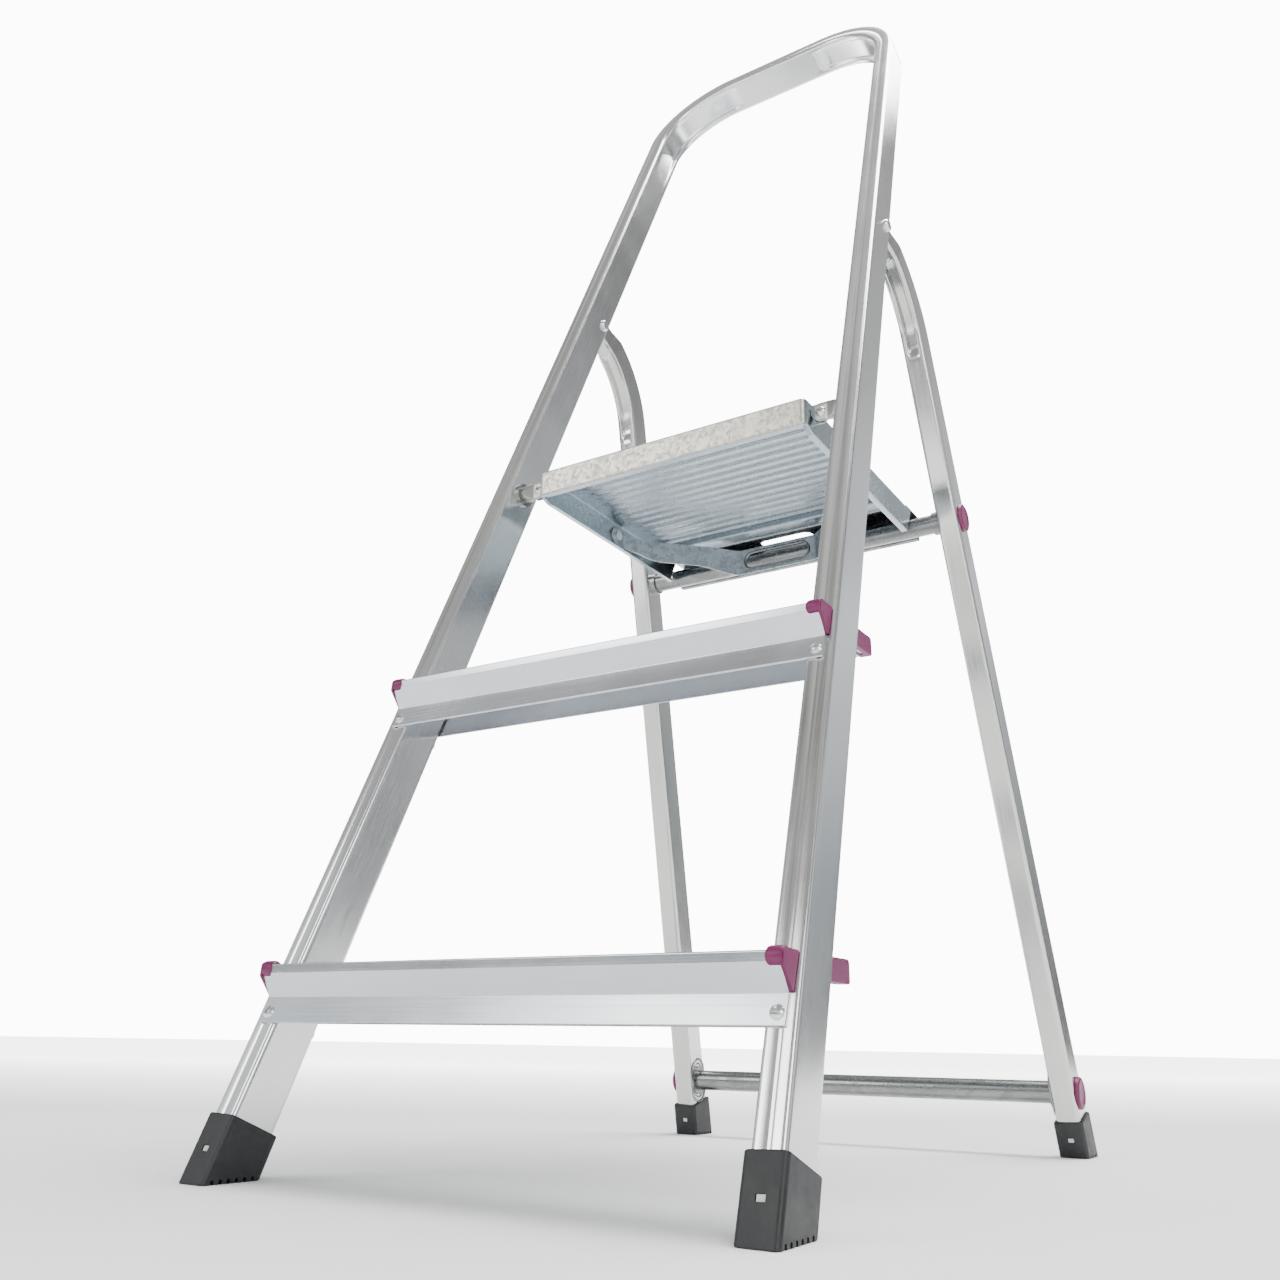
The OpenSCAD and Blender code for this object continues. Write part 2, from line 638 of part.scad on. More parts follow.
module platform_deck() {
    color(zinc) placed() difference() {
        at_deck() {
            across(platform_w) {
                translate([0, -sheet_t]) square([platform_d, sheet_t]);
                translate([0, -front_lip_h]) square([sheet_t, front_lip_h]);
                translate([0, -front_lip_h]) square([lip_return, sheet_t]);
                translate([platform_d - sheet_t, -rail_h]) square([sheet_t, rail_h]);
                translate([platform_d - rail_return, -rail_h]) square([rail_return, sheet_t]);
                translate([platform_d - rail_return, -rail_h]) square([sheet_t, 6]);
            }
            across(platform_w - 2 * sheet_t) for (i = [0 : rib_n - 1])
                translate([11 + i * rib_pitch, -sheet_t - rib_h]) square([4, rib_h + sheet_t / 2]);
            across(platform_w - 16) difference() {
                translate([ledge_y, -ledge_drop]) square([ledge_w, ledge_drop - sheet_t / 2]);
                translate([ledge_y + sheet_t, sheet_t - ledge_drop])
                    square([ledge_w - 2 * sheet_t, ledge_drop - 2 * sheet_t]);
            }
            for (m = [-1, 1]) side(m) {
                translate([platform_w / 2 - sheet_t / 2, 0, 0]) across(sheet_t) polygon([
                    [0, 0], [0, -front_lip_h], [14, -flange_h],
                    [escape_y(-flange_h), -flange_h], [escape_y(-1), -1], [escape_y(-1), 0]]);
                translate([platform_w / 2 - flange_return, 22, -flange_h])
                    cube([flange_return, escape_y(-flange_h) - 28, sheet_t]);
                translate([platform_w / 2 - sheet_t / 2, pivot_y - lip_y, -22])
                    cube([ear_w, sheet_t, 20]);
            }
        }
        at_deck() translate([0, high_bar_y - lip_y, -10]) for (m = [-1, 1]) {
            translate([m * (slot_l - slot_w) / 2, 0, 0]) cylinder(d = slot_w, h = 20);
            translate([-(slot_l - slot_w) / 2, -slot_w / 2, 0]) cube([slot_l - slot_w, slot_w, 20]);
        }
        for (m = [-1, 1]) side(m) {
            lug_hole();
            at_lever_pin() translate([-20, 0, 0]) rod(lever_pin_d + 2 * hole_gap, 30);
        }
    }
}

// Pivot tubes turn in the stiles; their flattened inner ends are riveted to the deck's ears
lug_h = 18;
lug_x = platform_w / 2 + lug_h / 2 + 0.3;
tube_x = lug_x + 10;
pivot_end_x = pivot_in_x + stile_w / 2;
module lug_hole() {
    translate([lug_x, pivot_y - 10, pivot_z]) rotate([-90, 0, 0])
        cylinder(d = rivet_d + 2 * hole_gap, h = 20);
}
module platform_pivot(s) {
    color(zinc) placed() side(s) difference() {
        union() {
            intersection() {
                translate([tube_x, pivot_y, pivot_z]) rod(pivot_d, pivot_end_x - tube_x);
                translate([0, pivot_y, pivot_z - pivot_d]) linear_extrude(2 * pivot_d) polygon([
                    [tube_x - 1, -lug_t], [tube_x + 8, -pivot_d / 2 - 1], [pivot_end_x + 1, -pivot_d / 2 - 1],
                    [pivot_end_x + 1, pivot_d / 2 + 1], [tube_x + 9, pivot_d / 2 + 1], [tube_x - 1, 0]]);
            }
            translate([lug_x, pivot_y - lug_t, pivot_z]) rotate([-90, 0, 0]) cylinder(d = lug_h, h = lug_t);
            translate([lug_x, pivot_y - lug_t, pivot_z - lug_h / 2]) cube([6, lug_t, lug_h]);
            translate([lug_x + 5.9, pivot_y - lug_t, pivot_z - pivot_d / 2])
                cube([tube_x - lug_x - 5.5, lug_t, pivot_d]);
        }
        translate([pivot_in_x - 6, pivot_y, pivot_z]) rod(pivot_d - 3, 40);
        lug_hole();
    }
}
module platform_pivot_left() { platform_pivot(-1); }
module platform_pivot_right() { platform_pivot(1); }

module platform_pivot_rivets() {
    color(zinc) placed() for (m = [-1, 1]) side(m) difference() {
        translate([lug_x, pivot_y - lug_t, pivot_z]) rotate([90, 0, 0]) union() {
            intersection() {
                translate([0, 0, -3.5]) sphere(d = 12);
                cylinder(d = rivet_head_d, h = 5);
            }
            translate([0, 0, -lug_t - sheet_t]) cylinder(d = rivet_d, h = lug_t + sheet_t + 0.5);
            translate([0, 0, -lug_t - sheet_t - 2.5]) cylinder(d = rivet_d + 1.6, h = 2.5);
        }
        translate([lug_x, pivot_y - 20, pivot_z]) rotate([-90, 0, 0]) cylinder(d = 2.4, h = 40);
    }
}

// Collar pressed into the stile's inner wall
module pivot_collar(s) {
    flange_t = 2;
    color(zinc) placed() side(s) difference() {
        translate([pivot_in_x - flange_t - 0.6, pivot_y, pivot_z]) {
            rod(collar_d(), flange_t + stile_wall + 4);
            rod(collar_d() + 5, flange_t + 2);
        }
        difference() {
            stile_space(0);
            translate([pivot_in_x - 10, pivot_y, pivot_z]) rod(collar_d() + 0.02, 40);
        }
        translate([pivot_in_x - 20, pivot_y, pivot_z]) rod(pivot_d + 2 * run_gap, 60);
    }
}
module pivot_collar_left() { pivot_collar(-1); }
module pivot_collar_right() { pivot_collar(1); }

// ---- catch lever ----
lever_pin_d = 6;
module at_lever_pin() { at_deck() translate([platform_w / 2, lever_back, -lever_drop]) children(); }
module lever_rivets() {
    inner = sheet_t + 0.4 + lever_t + 0.3;
    color(zinc) placed() for (m = [-1, 1]) side(m) at_lever_pin() {
        translate([-inner - 1, 0, 0]) rod(lever_pin_d, inner + 1.5);
        translate([-inner - 2, 0, 0]) rod(lever_pin_d + 4, 2);
        intersection() {
            translate([-4, 0, 0]) rotate([0, 90, 0]) sphere(d = 13);
            rod(lever_pin_d + 4, 4);
        }
    }
}

// How far the arms have come inwards where they reach their full depth
arm_in = 29.47;
tab_end = lever_back + tab_l;
arm_lean = atan((lever_in - grip_l / 2) / (grip_y - tab_end));
module lever_plan() {
    in_tab = lever_t * tan(arm_lean / 2);
    in_grip = lever_t * tan(45 - arm_lean / 2);
    half = [[lever_in, lever_back - tab_l], [lever_in, tab_end], [grip_l / 2, grip_y]];
    inner = [[grip_l / 2 - in_grip, grip_y - lever_t], [lever_in - lever_t, tab_end - in_tab],
        [lever_in - lever_t, lever_back - tab_l]];
    polygon(concat(half, [for (i = [2 : -1 : 0]) [-half[i][0], half[i][1]]],
        [for (i = [2 : -1 : 0]) [-inner[i][0], inner[i][1]]], inner));
}
module catch_lever() {
    low = grip_z - lever_h / 2;
    top = grip_z + lever_h / 2;
    color(zinc) placed() at_deck() difference() {
        intersection() {
            translate([0, 0, -80]) linear_extrude(90) lever_plan();
            across(platform_w) difference() {
                polygon([[lever_back - 5, -5], [tab_end, -5], [tab_end + 14, top + 1.5],
                    [grip_y + 1, top], [grip_y + 1, low], [grip_y - 14, low + 1],
                    [tab_end + arm_in / tan(arm_lean), low + 7], [tab_end, -lever_drop - 10.5],
                    [lever_back - 5, -lever_drop - 10.5], [lever_back - 11, -lever_drop - 4.5],
                    [lever_back - 11, -11]]);
                translate([lever_back, -lever_drop]) circle(lever_pin_d / 2 + run_gap);
            }
        }
        translate([0, grip_y - 5, grip_z]) rotate([-90, 0, 0]) for (m = [-1, 1])
            translate([m * (finger_l - finger_w) / 2, 0, 0]) cylinder(d = finger_w, h = 10);
        translate([-(finger_l - finger_w) / 2, grip_y - 5, grip_z - finger_w / 2])
            cube([finger_l - finger_w, 10, finger_w]);
    }
}

front_frame_tube();
lower_step();
upper_step();
lower_step_front_cap_left();
lower_step_front_cap_right();
lower_step_rear_cap_left();
lower_step_rear_cap_right();
upper_step_front_cap_left();
upper_step_front_cap_right();
upper_step_rear_cap_left();
upper_step_rear_cap_right();
lower_step_rivets();
upper_step_rivets();
front_boot_left();
front_boot_right();
front_boot_clips();
hinge_rivet_left();
hinge_rivet_right();
pivot_collar_left();
pivot_collar_right();
rear_leg_left();
rear_leg_right();
hinge_sleeve_left();
hinge_sleeve_right();
lower_crossbar();
upper_crossbar();
lower_crossbar_cap_left();
lower_crossbar_cap_right();
upper_crossbar_cap_left();
upper_crossbar_cap_right();
lower_crossbar_washers();
upper_crossbar_washers();
rear_boot_left();
rear_boot_right();
rear_boot_clips();
platform_deck();
platform_pivot_left();
platform_pivot_right();
platform_pivot_rivets();
lever_rivets();
catch_lever();
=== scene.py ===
from math import acos, atan2, cos, pi, radians, sin, sqrt, tan

import bmesh
import bpy
from mathutils import Matrix, Vector


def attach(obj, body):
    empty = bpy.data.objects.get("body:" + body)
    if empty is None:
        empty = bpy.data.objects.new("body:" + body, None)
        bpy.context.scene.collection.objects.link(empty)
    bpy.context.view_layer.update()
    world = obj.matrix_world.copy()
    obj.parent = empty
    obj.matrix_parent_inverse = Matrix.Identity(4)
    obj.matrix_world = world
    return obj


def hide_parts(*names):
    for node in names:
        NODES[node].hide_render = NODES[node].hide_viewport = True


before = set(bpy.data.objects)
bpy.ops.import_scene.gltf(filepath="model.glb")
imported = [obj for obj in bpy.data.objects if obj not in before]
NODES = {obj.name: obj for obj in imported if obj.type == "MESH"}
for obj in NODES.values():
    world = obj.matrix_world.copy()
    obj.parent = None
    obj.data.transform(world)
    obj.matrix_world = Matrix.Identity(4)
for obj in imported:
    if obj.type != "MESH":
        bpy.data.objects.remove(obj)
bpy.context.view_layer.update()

MM = 0.001
SIDES = ((1, "right"), (-1, "left"))
# Faces that meet at more than this many degrees keep a sharp edge between them
SHARP = 34

# ---- Sizes, in millimetres and degrees, as the design has them ----
PLATFORM_H = 620
RISE = 239
OVERALL_H = 1320
FOOT_HALF = 220
FOOT_SPREAD = 650
LEAN = radians(21)
REAR_LEAN = radians(15)
SPLAY = radians(2.15)
STILE_W, STILE_D, STILE_WALL = 21, 40, 1.4
HOOP_R = 105
LEG_W, LEG_D = 22, 31
LEG_BEND_R = 118
LEG_END_W, LEG_END_D = STILE_W - 2 * STILE_WALL - 1.4, 25
HINGE_H, HINGE_BACK = 875, 11
BAR_D, BAR_WALL = 20, 1.5
LOW_BAR_H, HIGH_BAR_H = 56, PLATFORM_H - 21
BOOT_WALL, SOLE_T = 2.5, 6
FRONT_BOOT_H, REAR_BOOT_H = 46, 31
SHEET = 1.5

FRONT_EDGE = -BOOT_WALL / cos(LEAN)
REAR_EDGE = FOOT_SPREAD + (LEG_D + BOOT_WALL) / cos(REAR_LEAN)
MID_Y = (FRONT_EDGE + REAR_EDGE) / 2
HOOP_TOP = OVERALL_H / cos(LEAN)
HINGE_T = STILE_D / 2 + HINGE_BACK


def stile_y(z):
    return z * tan(LEAN)


def half_at(y, z):
    return FOOT_HALF - (y * sin(LEAN) + z * cos(LEAN)) * tan(SPLAY)


HINGE_Y = stile_y(HINGE_H) + HINGE_T / cos(LEAN)
HINGE_X = half_at(HINGE_Y, HINGE_H) - STILE_W / 2 / cos(SPLAY)
HINGE_S = HINGE_Y * sin(LEAN) + HINGE_H * cos(LEAN)
LEG_FRONT_T = (FOOT_SPREAD - HINGE_H * tan(REAR_LEAN) - HINGE_Y) * cos(REAR_LEAN)
LEG_MID_T = LEG_FRONT_T + LEG_D / 2
LEG_TURN = pi / 2 - LEAN - REAR_LEAN
LEG_FOOT_S = -HINGE_H / cos(REAR_LEAN) - (
    FOOT_SPREAD - HINGE_Y - HINGE_H * tan(REAR_LEAN)
) * sin(REAR_LEAN)
BEND_START_S = -LEG_MID_T / tan(LEG_TURN) - LEG_BEND_R * tan(LEG_TURN / 2)
LIP_Y = stile_y(PLATFORM_H) + 2
PIVOT_Z = PLATFORM_H - 12
PIVOT_Y = stile_y(PIVOT_Z) + STILE_D / 2 / cos(LEAN)
PIVOT_IN_X = half_at(PIVOT_Y, PIVOT_Z) - STILE_W / cos(SPLAY)


def leg_y(z):
    return FOOT_SPREAD - z * tan(REAR_LEAN) + LEG_D / 2 / cos(REAR_LEAN)


def leg_half(z):
    s = -((HINGE_H - z) * cos(REAR_LEAN) + (leg_y(z) - HINGE_Y) * sin(REAR_LEAN))
    return HINGE_X - s * tan(SPLAY) + LEG_W / 2 / cos(SPLAY)


# ---- Frames: a point along a piece to a point in the row ----
def row(x, y, z):
    return Vector((x, y - MID_Y, z)) * MM


def hoop_point(x, t, s):
    """A point in the leaning plane of the front tube."""
    return row(x, t * cos(LEAN) + s * sin(LEAN), -t * sin(LEAN) + s * cos(LEAN))


def stile_point(x, t, s, side=1):
    """x outwards from the stile's outer face, t back, s up along the stile."""
    return hoop_point(
        side * (FOOT_HALF + x * cos(SPLAY) - s * sin(SPLAY)), t, x * sin(SPLAY) + s * cos(SPLAY)
    )


def stile_s(x, t, z):
    return ((z + t * sin(LEAN)) / cos(LEAN) - x * sin(SPLAY)) / cos(SPLAY)


def leg_point(x, t, s, side=1):
    """x outwards from the leg's middle, t back, s up along the leg from the hinge."""
    x1, s1 = x * cos(SPLAY) - s * sin(SPLAY), x * sin(SPLAY) + s * cos(SPLAY)
    return row(
        side * (HINGE_X + x1),
        HINGE_Y + t * cos(REAR_LEAN) - s1 * sin(REAR_LEAN),
        HINGE_H + t * sin(REAR_LEAN) + s1 * cos(REAR_LEAN),
    )


def leg_s(x, t, z):
    return ((z - HINGE_H - t * sin(REAR_LEAN)) / cos(REAR_LEAN) - x * sin(SPLAY)) / cos(SPLAY)


def on_stile(side):
    return lambda x, t, s: stile_point(x, t, s, side)


def on_leg(side):
    return lambda x, t, s: leg_point(x, t, s, side)


def deck_point(x, y, z):
    return row(x, LIP_Y + y, PLATFORM_H + z)


# ---- Mesh building ----
def add_object(name, data):
    ob = bpy.data.objects.new(name, data)
    bpy.context.scene.collection.objects.link(ob)
    return ob


class Build:
    """Gathers vertices and faces, and makes one object of them."""

    def __init__(self):
        self.verts, self.faces = [], []

    def add(self, verts, faces):
        n = len(self.verts)
        self.verts += verts
        self.faces += [[n + i for i in f] for f in faces]

    def loft(self, rings, closed=False):
        """Skins rings of equal length; closed joins the last to the first, and else both ends are filled."""
        n, last = len(rings[0]), len(rings) - 1
        pairs = [(i, i + 1) for i in range(last)]
        if closed:
            pairs.append((last, 0))
        faces = []
        for a, b in pairs:
            for j in range(n):
                k = (j + 1) % n
                faces.append([a * n + j, a * n + k, b * n + k, b * n + j])
        if not closed:
            faces.append(list(range(n))[::-1])
            faces.append([last * n + j for j in range(n)])
        self.add([p for r in rings for p in r], faces)

    def object(self, name, materials, angle=SHARP):
        me = bpy.data.meshes.new(name)
        me.from_pydata([tuple(v) for v in self.verts], [], self.faces)
        for m in materials:
            me.materials.append(m)
        me.validate()
        bm = bmesh.new()
        bm.from_mesh(me)
        bmesh.ops.recalc_face_normals(bm, faces=bm.faces)
        bm.to_mesh(me)
        bm.free()
        ob = add_object(name, me)
        smooth(ob, angle)
        return ob


def bake_modifiers(ob):
    """Swaps an object's mesh for the one that its modifiers make."""
    bpy.context.view_layer.update()
    graph = bpy.context.evaluated_depsgraph_get()
    me = bpy.data.meshes.new_from_object(ob.evaluated_get(graph))
    ob.modifiers.clear()
    old, ob.data = ob.data, me
    bpy.data.meshes.remove(old)


def smooth(ob, angle=SHARP):
    """Smooth shading in which the broad faces stay flat and only the roundings turn."""
    ob.data.shade_smooth()
    ob.data.set_sharp_from_angle(angle=radians(angle))
    m = ob.modifiers.new("weighted", "WEIGHTED_NORMAL")
    m.keep_sharp, m.weight = True, 80
    bake_modifiers(ob)


def cut(ob, *cutters, angle=SHARP):
    for c in cutters:
        m = ob.modifiers.new("cut", "BOOLEAN")
        m.operation, m.solver, m.object = "DIFFERENCE", "EXACT", c
    bake_modifiers(ob)
    smooth(ob, angle)
    for c in cutters:
        bpy.data.objects.remove(c)
    return ob


def bevel(ob, width):
    m = ob.modifiers.new("bevel", "BEVEL")
    m.width, m.segments, m.limit_method, m.angle_limit = width * MM, 3, "ANGLE", radians(30)
    m.use_clamp_overlap = True
    bake_modifiers(ob)
    smooth(ob)


def rounded_polygon(points, seg=5):
    """A polygon's [x, y] or [x, y, radius] corners, each rounded by its radius."""
    out = []
    n = len(points)
    for i, p in enumerate(points):
        r = p[2] if len(p) > 2 else 0
        c = Vector(p[:2])
        a, b = Vector(points[i - 1][:2]) - c, Vector(points[(i + 1) % n][:2]) - c
        if r <= 0:
            out.append(c)
            continue
        la, lb = a.length, b.length
        a, b = a / la, b / lb
        half = acos(max(-1, min(1, a.dot(b)))) / 2
        d = min(r / tan(half), la * 0.49, lb * 0.49)
        r = d * tan(half)
        centre = c + (a + b).normalized() * (r / sin(half))
        v0, v1 = c + a * d - centre, c + b * d - centre
        turn = atan2(v0.x * v1.y - v0.y * v1.x, v0.dot(v1))
        for k in range(seg + 1):
            w = turn * k / seg
            out.append(centre + Vector((v0.x * cos(w) - v0.y * sin(w), v0.x * sin(w) + v0.y * cos(w))))
    return out


def box_section(w, d, r, seg=5):
    x, y = w / 2, d / 2
    return rounded_polygon([(-x, -y, r), (x, -y, r), (x, y, r), (-x, y, r)], seg)


def quarters(section):
    """The points of a box section's four rounded corners."""
    k = len(section) // 4
    return [section[i * k : (i + 1) * k] for i in range(4)]


def outline_prism(name, loops, x0, x1, materials, place):
    """Closed [y, z] loops, holes included, made solid from x0 to x1."""
    cu = bpy.data.curves.new(name, "CURVE")
    cu.dimensions, cu.fill_mode, cu.extrude = "2D", "BOTH", (x1 - x0) / 2
    for loop in loops:
        sp = cu.splines.new("POLY")
        sp.points.add(len(loop) - 1)
        for q, p in zip(sp.points, loop):
            q.co = (p[0], p[1], 0, 1)
        sp.use_cyclic_u = True
    tmp = add_object(name, cu)
    bpy.context.view_layer.update()
    graph = bpy.context.evaluated_depsgraph_get()
    me = bpy.data.meshes.new_from_object(tmp.evaluated_get(graph))
    bpy.data.objects.remove(tmp)
    bm = bmesh.new()
    bm.from_mesh(me)
    bmesh.ops.remove_doubles(bm, verts=bm.verts, dist=1e-4)
    bmesh.ops.dissolve_limit(bm, angle_limit=0.001, verts=bm.verts, edges=bm.edges)
    for v in bm.verts:
        v.co = place((x0 + x1) / 2 + v.co.z, v.co.x, v.co.y)
    bmesh.ops.recalc_face_normals(bm, faces=bm.faces)
    bm.to_mesh(me)
    bm.free()
    me.name = name
    for m in materials:
        me.materials.append(m)
    ob = add_object(name, me)
    smooth(ob)
    return ob


def cutter_box(place, lo, hi, r=0):
    """A box in a piece's own frame, for cutting; r rounds its corners in the x-s plane."""
    b = Build()
    xm, sm = (lo[0] + hi[0]) / 2, (lo[2] + hi[2]) / 2
    if r:
        pts = box_section(hi[0] - lo[0], hi[2] - lo[2], r, 6)
    else:
        x0, x1, s0, s1 = lo[0] - xm, hi[0] - xm, lo[2] - sm, hi[2] - sm
        pts = [Vector(p) for p in ((x0, s0), (x1, s0), (x1, s1), (x0, s1))]
    b.loft([[place(xm + p.x, t, sm + p.y) for p in pts] for t in (lo[1], hi[1])])
    return b.object("cutter", [])


def lathe_x(b, profile, y, z, side=1, seg=48, place=row):
    """Turns [x, radius] pairs about an axis along X through y, z."""
    turn = [2 * pi * k / seg for k in range(seg)]
    b.loft([[place(side * x, y + r * cos(a), z + r * sin(a)) for a in turn] for x, r in profile])


def bead(b, loop, wide, high, place, seg=12, shift=0):
    """A rounded bead along a flat closed loop, wide within the loop's plane and high out of it."""
    turn = [2 * pi * k / seg for k in range(seg)]
    rings = []
    for i, p in enumerate(loop):
        q0, q1 = loop[i - 1], loop[(i + 1) % len(loop)]
        n = Vector((q1.y - q0.y, -(q1.x - q0.x))).normalized()
        ring = []
        for a in turn:
            out = shift + wide * cos(a)
            ring.append(place(p.x + n.x * out, p.y + n.y * out, high * sin(a)))
        rings.append(ring)
    b.loft(rings, closed=True)


def fade(x, a, b):
    """0 at a, 1 at b, smoothly."""
    k = max(0.0, min(1.0, (x - a) / (b - a)))
    return k * k * (3 - 2 * k)


def put(ob, body, slot, *nodes):
    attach(ob, body)
    if nodes:
        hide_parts(*nodes)


# ---- Materials ----
def new_material(name):
    m = bpy.data.materials.new(name)
    m.use_nodes = True
    nt = m.node_tree
    return m, nt, nt.nodes["Principled BSDF"]


class Graph:
    """Short-hand for wiring one material's nodes."""

    def __init__(self, nt):
        self.nt = nt
        self.coord = nt.nodes.new("ShaderNodeTexCoord").outputs["Object"]

    def mapping(self, scale, rotation=(0, 0, 0)):
        # A texture-space mapping, so that scale acts along the rotated axes
        turn = self.nt.nodes.new("ShaderNodeMapping")
        turn.inputs["Rotation"].default_value = rotation
        self.nt.links.new(self.coord, turn.inputs["Vector"])
        size = self.nt.nodes.new("ShaderNodeMapping")
        size.inputs["Scale"].default_value = scale
        self.nt.links.new(turn.outputs["Vector"], size.inputs["Vector"])
        return size.outputs["Vector"]

    def noise(self, vector, detail, rough=0.5, distortion=0.0):
        n = self.nt.nodes.new("ShaderNodeTexNoise")
        n.inputs["Scale"].default_value = 1.0
        n.inputs["Detail"].default_value = detail
        n.inputs["Roughness"].default_value = rough
        n.inputs["Distortion"].default_value = distortion
        self.nt.links.new(vector, n.inputs["Vector"])
        return n.outputs["Fac"]

    def crystals(self, vector):
        n = self.nt.nodes.new("ShaderNodeTexVoronoi")
        n.inputs["Scale"].default_value = 1.0
        self.nt.links.new(vector, n.inputs["Vector"])
        grey = self.nt.nodes.new("ShaderNodeRGBToBW")
        self.nt.links.new(n.outputs["Color"], grey.inputs["Color"])
        return grey.outputs[0]

    def ramp(self, fac, stops):
        n = self.nt.nodes.new("ShaderNodeValToRGB")
        el = n.color_ramp.elements
        while len(el) < len(stops):
            el.new(0.5)
        for e, (pos, c) in zip(el, stops):
            e.position = pos
            e.color = (*c, 1) if isinstance(c, tuple) else (c, c, c, 1)
        self.nt.links.new(fac, n.inputs["Fac"])
        return n.outputs["Color"]

    def math(self, op, a, b):
        n = self.nt.nodes.new("ShaderNodeMath")
        n.operation = op
        for k, v in enumerate((a, b)):
            if isinstance(v, (int, float)):
                n.inputs[k].default_value = v
            else:
                self.nt.links.new(v, n.inputs[k])
        return n.outputs[0]

    def weigh(self, a, share_a, b, share_b):
        """Two values, each times its share, added up."""
        return self.math("ADD", self.math("MULTIPLY", a, share_a), self.math("MULTIPLY", b, share_b))

    def range(self, fac, lo, hi, frm=(0.3, 0.7)):
        n = self.nt.nodes.new("ShaderNodeMapRange")
        n.inputs["From Min"].default_value, n.inputs["From Max"].default_value = frm
        n.inputs["To Min"].default_value, n.inputs["To Max"].default_value = lo, hi
        self.nt.links.new(fac, n.inputs["Value"])
        return n.outputs["Result"]

    def bump(self, height, strength, distance, normal=None):
        n = self.nt.nodes.new("ShaderNodeBump")
        n.inputs["Strength"].default_value = strength
        n.inputs["Distance"].default_value = distance
        self.nt.links.new(height, n.inputs["Height"])
        if normal is not None:
            self.nt.links.new(normal, n.inputs["Normal"])
        return n.outputs["Normal"]


def drawn_aluminium(name, base, turn, along, rough=(0.13, 0.26), wave=0.25, metal=1.0):
    """Mill-finish extrusion: die lines along one axis, faint clouding and slow waviness."""
    m, nt, bsdf = new_material(name)
    g = Graph(nt)
    bsdf.inputs["Metallic"].default_value = metal
    lines_scale = [900.0, 900.0, 900.0]
    lines_scale["xyz".index(along)] = 5.0
    lines = g.noise(g.mapping(lines_scale, turn), 3, 0.6)
    cloud = g.noise(g.mapping((9, 9, 9)), 5, 0.55, 0.4)
    slow_scale = [26.0, 26.0, 26.0]
    slow_scale["xyz".index(along)] = 9.0
    slow = g.noise(g.mapping(slow_scale, turn), 2, 0.4)
    dark = tuple(c * 0.90 for c in base)
    tone = g.ramp(g.weigh(cloud, 0.6, lines, 0.4), [(0.36, dark), (0.62, base)])
    nt.links.new(tone, bsdf.inputs["Base Color"])
    nt.links.new(g.range(g.weigh(lines, 0.5, cloud, 0.5), *rough), bsdf.inputs["Roughness"])
    waves = g.bump(slow, wave, 0.0006)
    nt.links.new(g.bump(lines, 0.16, 0.00006, waves), bsdf.inputs["Normal"])
    return m


def galvanised(name, light, dark, scale, contrast, rough, wave, grain=1.0):
    """Zinc-coated sheet: crossing crystal spangle in tone, gloss and a little relief."""
    m, nt, bsdf = new_material(name)
    g = Graph(nt)
    bsdf.inputs["Metallic"].default_value = 1.0
    warp = g.noise(g.mapping((60, 60, 60)), 2)
    crystals = g.crystals(g.mapping((150 * scale, 150 * scale, 150 * scale), (0.4, 0.2, 0.6)))
    fine = g.noise(g.mapping((420, 420, 420)), 3, 0.6)
    patch_scale = (120 * grain, 220 * grain, 120 * grain)
    patches = g.noise(g.mapping(patch_scale, (0.3, 0.5, 0.9)), 2, 0.5, 1.6)
    blend = g.weigh(crystals, 0.34 * contrast, patches, 0.66)
    blend = g.math("ADD", blend, g.math("MULTIPLY", g.math("SUBTRACT", warp, 0.5), 0.2))
    nt.links.new(g.ramp(blend, [(0.36, dark), (0.60, light)]), bsdf.inputs["Base Color"])
    nt.links.new(g.range(blend, rough[1], rough[0]), bsdf.inputs["Roughness"])
    dents = g.bump(g.noise(g.mapping((20, 34, 20)), 2), wave, 0.0010)
    relief = g.bump(blend, 0.18, 0.00025, dents)
    nt.links.new(g.bump(fine, 0.10, 0.00008, relief), bsdf.inputs["Normal"])
    return m


def turned_steel(name, base, rough=(0.20, 0.36)):
    """Zinc-plated tube and rivets: fine turned lines, small stains."""
    m, nt, bsdf = new_material(name)
    g = Graph(nt)
    bsdf.inputs["Metallic"].default_value = 1.0
    rings = g.noise(g.mapping((1500, 60, 60)), 2)
    stain = g.noise(g.mapping((40, 90, 90)), 5, 0.6, 0.5)
    dark = tuple(c * 0.78 for c in base)
    nt.links.new(g.ramp(stain, [(0.35, dark), (0.6, base)]), bsdf.inputs["Base Color"])
    nt.links.new(g.range(stain, rough[1], rough[0]), bsdf.inputs["Roughness"])
    nt.links.new(g.bump(rings, 0.12, 0.00005), bsdf.inputs["Normal"])
    return m


def moulded(name, base, lift, rough, grain, grain_depth):
    """Injection-moulded plastic: a fine spark-eroded grain and soft tone changes."""
    m, nt, bsdf = new_material(name)
    g = Graph(nt)
    bsdf.inputs["Specular IOR Level"].default_value = 0.5
    tone = g.noise(g.mapping((45, 45, 45)), 4, 0.6)
    pits = g.noise(g.mapping((grain, grain, grain)), 2, 0.5)
    nt.links.new(g.ramp(tone, [(0.35, base), (0.68, lift)]), bsdf.inputs["Base Color"])
    nt.links.new(g.range(tone, *rough), bsdf.inputs["Roughness"])
    nt.links.new(g.bump(pits, 0.35, grain_depth), bsdf.inputs["Normal"])
    return m


